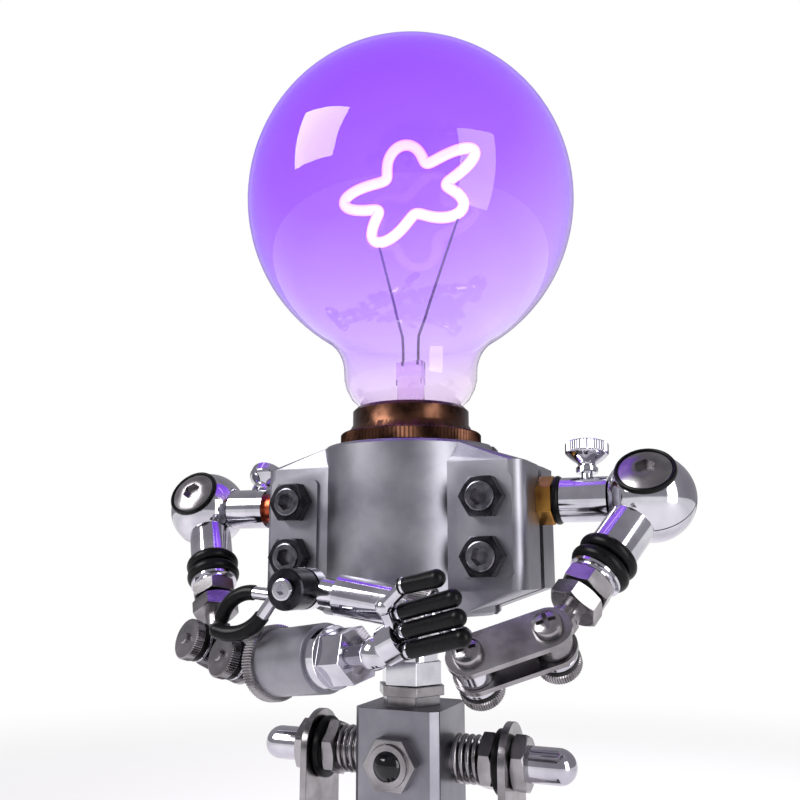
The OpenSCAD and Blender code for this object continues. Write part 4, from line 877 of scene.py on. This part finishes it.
# %% Wind a thread
def thread(name, radius, pitch, length, depth):
    """A screw ridge on Z from 0 up to length. Sizes in mm."""
    clear_selection()
    bpy.ops.mesh.primitive_circle_add(vertices=3, radius=pitch * 0.55 * MM, fill_type="NOTHING")
    ridge = bpy.context.object
    ridge.name = name
    corners = ((radius, 0), (radius - depth, pitch * 0.42), (radius - depth, -pitch * 0.42))
    for v, (r, z) in zip(ridge.data.vertices, corners):
        v.co = (r * MM, 0, (z + pitch * 0.5) * MM)
    wind = ridge.modifiers.new("wind", "SCREW")
    wind.axis = "Z"
    wind.screw_offset = pitch * MM
    wind.iterations = max(1, int((length - pitch) / pitch))
    wind.steps = wind.render_steps = 28
    wind.use_normal_calculate = True
    return close_ends(apply_all(ridge))


arm_way = {s: (elbow[s] - ball[s]).normalized() for s in SIDES}
print("upper arms point", {s: [round(v, 2) for v in w] for s, w in arm_way.items()})

# %% [markdown]
# ## Upper arms
# Under the rubber rings sit a stepped washer and two hexagon nuts, jammed against each other
# on a threaded rod. The rod ends in a flat eye between the link plates.

# %% Nuts and threaded rods
NUT_FLATS = 11.2
NUT_START = 29.65
NUT_PITCH = 5
WASHER_Z = 27.6
THREAD_START = 26
EYE_ROOM = 6.6
upper_l = {s: (elbow[s] - ball[s]).length / MM for s in SIDES}
for s in SIDES:
    washer = turned(f"arm_washer_{s}", [(3.05, 0), (6.2, 0), (6.5, 0.3), (6.5, 1), (5.7, 1.2),
                                        (5.7, 2), (3.05, 2)], 64, ring=True)
    set_down(washer, ball[s] + arm_way[s] * WASHER_Z * MM, arm_way[s], rear_way[s])
    finish_piece(smooth(washer, 30), chromed_steel, f"upper_arm_{s}", [f"arm_nuts_{s}"])
    for i in range(2):
        nut = hexagon_nut(f"arm_nut_{i + 1}_{s}", NUT_FLATS, 4.4, 3.05)
        turn = math.radians(14 * i + 8)
        side = rear_way[s] * math.cos(turn) + arm_way[s].cross(rear_way[s]) * math.sin(turn)
        set_down(nut, ball[s] + arm_way[s] * (NUT_START + NUT_PITCH * i) * MM, arm_way[s], side)
        finish_piece(smooth(nut, 30), nickel_steel, f"upper_arm_{s}")
    dress(f"arm_rod_{s}", nickel_steel, 0.2)
    ridge = thread(f"rod_thread_{s}", 3.02, 1.0, upper_l[s] - EYE_ROOM - THREAD_START, 0.45)
    set_down(ridge, ball[s] + arm_way[s] * THREAD_START * MM, arm_way[s], rear_way[s])
    finish_piece(smooth(ridge, 40), nickel_steel, f"upper_arm_{s}")
print("upper arms:", {s: round(v, 1) for s, v in upper_l.items()}, "mm")

# %% [markdown]
# ## Pivot screws of the elbow links
# Each end of a link is held by a screw with a crossed recess. Through it go a domed washer, a
# rubber one and a knurled nut. All four pivots are the same, so each piece is modelled once.

# %% Model a pivot's pieces once
LINK_HALF = 4.2


def crossed_head():
    """A pan head with a crossed recess, from 0 up to 2.4 mm."""
    pan = turned("pan_head", [(3.6, 0), (3.6, 1.1), (3.3, 1.7), (2.6, 2.15), (1.4, 2.4),
                              (0.01, 2.42)], 48)
    for turn in (0, 90):
        clear_selection()
        bpy.ops.mesh.primitive_cube_add(size=1, location=(0, 0, 2.1 * MM),
                                        rotation=(0, 0, math.radians(turn)))
        blade = bpy.context.object
        blade.scale = (4.6 * MM, 1.0 * MM, 2.2 * MM)
        cut_with(pan, blade)
    return pan


dome = [(1.55, 0), (3.2, 0), (4.2, 0.4), (4.9, 1.1), (5.05, 1.7), (5.0, 1.9), (1.55, 1.9)]
pad = [(1.55, 0), (4.9, 0), (5.15, 0.3), (5.15, 1.3), (4.9, 1.6), (1.55, 1.6)]
pivot_pieces = {
    "pan_head": (crossed_head(), nickel_steel, "chrome"),
    "dome_washer": (turned("dome_washer", dome, 64, ring=True), chromed_steel, "chrome"),
    "rubber_washer": (turned("rubber_washer", pad, 64, ring=True), black_rubber, "black_rubber"),
    "pivot_nut": (knurled("pivot_nut", 5.4, 2.8, 1.55, 56, 0.2, 0.3), nickel_steel, "chrome"),
    "screw_end": (turned("screw_end", [(1.5, 0), (1.5, 0.7), (1.25, 1.0)], 32), nickel_steel,
                  "chrome"),
}
NUT_SIDE = {"dome_washer": 0.0, "rubber_washer": 1.9, "pivot_nut": 3.5, "screw_end": 6.3}
print("pivot pieces:", list(pivot_pieces))

# %% Set a pivot at each end of both links
for s in SIDES:
    for end, pivot in (("upper", elbow[s]), ("lower", second[s])):
        for kind, (model, finish, slot_name) in pivot_pieces.items():
            piece = copy_of(model, f"{kind}_{end}_{s}")
            if kind == "pan_head":
                set_down(piece, pivot - nut_way[s] * LINK_HALF * MM, -nut_way[s], link_way[s])
            else:
                at = pivot + nut_way[s] * (LINK_HALF + NUT_SIDE[kind]) * MM
                set_down(piece, at, nut_way[s], link_way[s])
            stands_for = [f"link_bolts_{s}"] if kind == "pan_head" and end == "upper" else ()
            finish_piece(smooth(piece, 30), finish, f"link_{s}", stands_for)
for model, _, _ in pivot_pieces.values():
    bpy.data.objects.remove(model)
print("pivots set:", len(elbow) + len(second))

# %% [markdown]
# ## Thumb screws and shoulder fittings
# A thumb screw clamps each shoulder tube on its stud. Its stem is turned, and its head gets
# the rings' knurl. On the viewer's right a brass hexagon shows beside the chest, and on the
# left a copper-coloured thread.

# %% Thumb screws
GRIP_START = 12.28
GRIP_H = 3
FACE_START = 14.1
for s in SIDES:
    up = joint_axis(f"thumb_screw_turn_{s}")
    at = joint_at(f"thumb_screw_turn_{s}")
    stem = turned(f"thumb_stem_{s}", [(1.5, 4.75), (1.5, 7.1), (2.6, 7.1), (2.9, 7.4), (2.9, 8.5),
                                      (2.5, 8.8), (2.3, 9.2), (2.6, 9.8), (4.3, 11.0), (5.3, 12.0),
                                      (5.4, 12.3)], 48)
    set_down(stem, at, up)
    finish_piece(smooth(stem, 30), chromed_steel, f"clamp_{s}", [f"thumb_screw_{s}"])
    grip = knurled(f"thumb_grip_{s}", 5.75, GRIP_H, 2.2, 50, 0.25, 0.3)
    set_down(grip, at + up * GRIP_START * MM, up)
    finish_piece(smooth(grip, 30), chromed_steel, f"clamp_{s}")
    face = turned(f"thumb_face_{s}", [(2.6, 0), (2.6, 0.9), (2.2, 1.1), (0.01, 1.1)], 32)
    set_down(face, at + up * FACE_START * MM, up)
    finish_piece(smooth(face, 30), chromed_steel, f"clamp_{s}")
print("thumb screws placed")

# %% Studs, hexagons and seals
STUD_PITCH = 1.25
STUD_THREADS = {"right": (41.5, 8.0), "left": (43.6, 8.5)}
studs = dress("shoulder_studs", brass, 0.25)
only(studs)
bpy.ops.mesh.separate(type="LOOSE")
for stud in bpy.context.selected_objects:
    on_left = sum(v.co.x for v in stud.data.vertices) < 0
    finish_piece(stud, copper_thread if on_left else brass, "torso", ["shoulder_studs"])
for s, (start, length) in STUD_THREADS.items():
    ridge = thread(f"stud_thread_{s}", 4.52, STUD_PITCH, length, 0.5)
    set_down(ridge, (SIDES[s] * start * MM, axis_y, shoulder_z), (SIDES[s], 0, 0))
    finish_piece(smooth(ridge, 40), copper_thread if s == "left" else brass, "torso")
dress("shoulder_seals", black_rubber, 0)
print("studs:", studs.name)

# %% [markdown]
# ## Wrist and rubber fingers
# The claws turn on a black bush, which a bright socket screw holds. The left hand's fingers
# are rubber sleeves pushed over the chrome knuckles. They are straight, so each is turned,
# with a lip where it begins and a round tip.

# %% Bush and screw of the right wrist
BUSH_START = 2.2
BUSH_H = 8.4
PIN_BACK = 3.4
wrist = joint_at("wrist_turn_right")
front = Vector((0, -1, 0))
bush = turned("wrist_bush", [(1.55, 0), (4.6, 0), (5.0, 0.4), (5.0, BUSH_H - 0.4), (4.6, BUSH_H),
                             (3.0, BUSH_H), (2.9, BUSH_H - 0.3), (1.55, BUSH_H - 0.3)],
              64, ring=True)
set_down(bush, wrist + front * BUSH_START * MM, front)
finish_piece(smooth(bush, 30), black_oxide, "hand_right", ["wrist_right"])
screw = socket_head("wrist_screw", 2.7, 1.9, 2.4, 1.3)
set_down(screw, wrist + front * (BUSH_START + BUSH_H - 0.3) * MM, front, (0.2, 0, 1))
finish_piece(smooth(screw, 30), chromed_steel, "hand_right")
pin = turned("wrist_pin", [(1.5, 0), (1.5, 13.6), (1.3, 13.8)], 32)
set_down(pin, wrist - front * PIN_BACK * MM, front)
finish_piece(smooth(pin, 30), nickel_steel, "hand_right")
print("wrist bush at", [round(v / MM, 1) for v in wrist])

# %% Rubber sleeves of the left hand
hand = joint_at("wrist_turn_left")
palm_way = Vector((0.72, -0.2, 0.36)).normalized()
finger_way = Vector((0.9, -0.34, 0.22)).normalized()
across = finger_way.cross(Vector((0, -1, 0))).normalized()
PALM_START = 4.05
PALM_L = 5
FINGER_PITCH = 4.05
KNUCKLE_R = 1.9
FINGER_L = 15
SLEEVE_R = 1.95
LIP_BACK = 1.4
THUMB_LIP_BACK = 1.0
palm = hand + palm_way * PALM_START * MM
knuckles = palm + palm_way * PALM_L * MM
thumb_root = palm + Vector((1.2, -5, 8.6)) * MM
thumb_middle = thumb_root + Vector((5.4, -1.5, 4.6)) * MM
thumb_tip = thumb_middle + Vector((8.2, -2.2, 1.6)) * MM


def rubber_sleeve(name, length):
    """A rubber finger on Z, from its lip at 0 up to its round tip."""
    r = SLEEVE_R
    turns = [math.radians(a) for a in range(0, 85, 12)]
    lip = [(r * 0.86, 0), (r, 0.25), (r, 0.7), (r * 0.95, 0.95), (r * 0.96, length * 0.5)]
    tip = [(r * math.cos(a), length - r + r * math.sin(a)) for a in turns]
    return turned(name, lip + tip + [(0.02, length)], 32)


for i in range(3):
    root = knuckles + (Vector((1, -1.6, 1.4)) + across * FINGER_PITCH * (i - 1)) * MM
    sleeve = rubber_sleeve(f"finger_{i + 1}_left", FINGER_L + KNUCKLE_R + LIP_BACK)
    set_down(sleeve, root - finger_way * LIP_BACK * MM, finger_way)
    stands_for = ["fingers_left"] if i == 0 else ()
    finish_piece(smooth(sleeve, 40), black_rubber, "hand_left", stands_for)
thumb_way = (thumb_tip - thumb_middle).normalized()
thumb_l = (thumb_tip - thumb_middle).length / MM
sleeve = rubber_sleeve("thumb_left", thumb_l + KNUCKLE_R + THUMB_LIP_BACK)
set_down(sleeve, thumb_middle - thumb_way * THUMB_LIP_BACK * MM, thumb_way)
finish_piece(smooth(sleeve, 40), black_rubber, "hand_left")
print("fingers point", [round(v, 2) for v in finger_way])

# %% [markdown]
# ## Hip springs and nuts
# A coil spring is a round wire wound with a constant pitch. The Screw modifier winds it from
# one small circle, which is exactly how a spring winder works. Its ends rest against the
# block and the nut.

# %% Wind the springs
SPRING_X = 12.0
SPRING_L = 8.5
WIRE_R = 0.65
COIL_R = 5.6
CURLS = 4


def coil_spring(name):
    """A coil of wire, from 0 up to the spring's length."""
    clear_selection()
    bpy.ops.mesh.primitive_circle_add(vertices=12, radius=WIRE_R * MM, fill_type="NOTHING",
                                      location=(COIL_R * MM, 0, (WIRE_R + 0.1) * MM),
                                      rotation=(math.radians(90), 0, 0))
    spring = bpy.context.object
    spring.name = name
    bpy.ops.object.transform_apply(location=True, rotation=True, scale=True)
    wind = spring.modifiers.new("wind", "SCREW")
    wind.axis = "Z"
    wind.iterations = CURLS
    wind.screw_offset = (SPRING_L - 2 * WIRE_R - 0.2) / CURLS * MM
    wind.steps = wind.render_steps = 40
    return smooth(close_ends(apply_all(spring)), 50)


for s, sign in SIDES.items():
    spring = coil_spring(f"hip_spring_{s}")
    set_down(spring, (sign * SPRING_X * MM, axis_y, hip_z), (sign, 0, 0))
    finish_piece(spring, nickel_steel, "pelvis", ["hip_springs"] if s == "right" else ())
print("springs wound to", SPRING_L, "mm")

# %% Hip nuts and rubber discs
HIP_NUT_X = {"inner": 20.5, "outer": 29.0}
HIP_NUT_FLATS = 13
DISC_X = 24.3
for s, sign in SIDES.items():
    for place, x in HIP_NUT_X.items():
        nut = hexagon_nut(f"hip_nut_{place}_{s}", HIP_NUT_FLATS, 3.8, 4.0)
        set_down(nut, (sign * x * MM, axis_y, hip_z), (sign, 0, 0), (0, 0.35, 1))
        stands_for = ["hip_nuts"] if (s, place) == ("right", "inner") else ()
        finish_piece(smooth(nut, 30), nickel_steel, "pelvis", stands_for)
    disc = turned(f"hip_disc_{s}", [(4.0, 0), (7.6, 0), (8.1, 0.4), (8.2, 1.15), (8.1, 1.9),
                                    (7.6, 2.3), (4.0, 2.3)], 64, ring=True)
    set_down(disc, (sign * DISC_X * MM, axis_y, hip_z), (sign, 0, 0))
    stands_for = ["hip_discs"] if s == "right" else ()
    finish_piece(smooth(disc, 40), black_rubber, "pelvis", stands_for)
print("hip nuts and discs placed")

# %% Plain view transform
bpy.context.scene.view_settings.view_transform = "Standard"
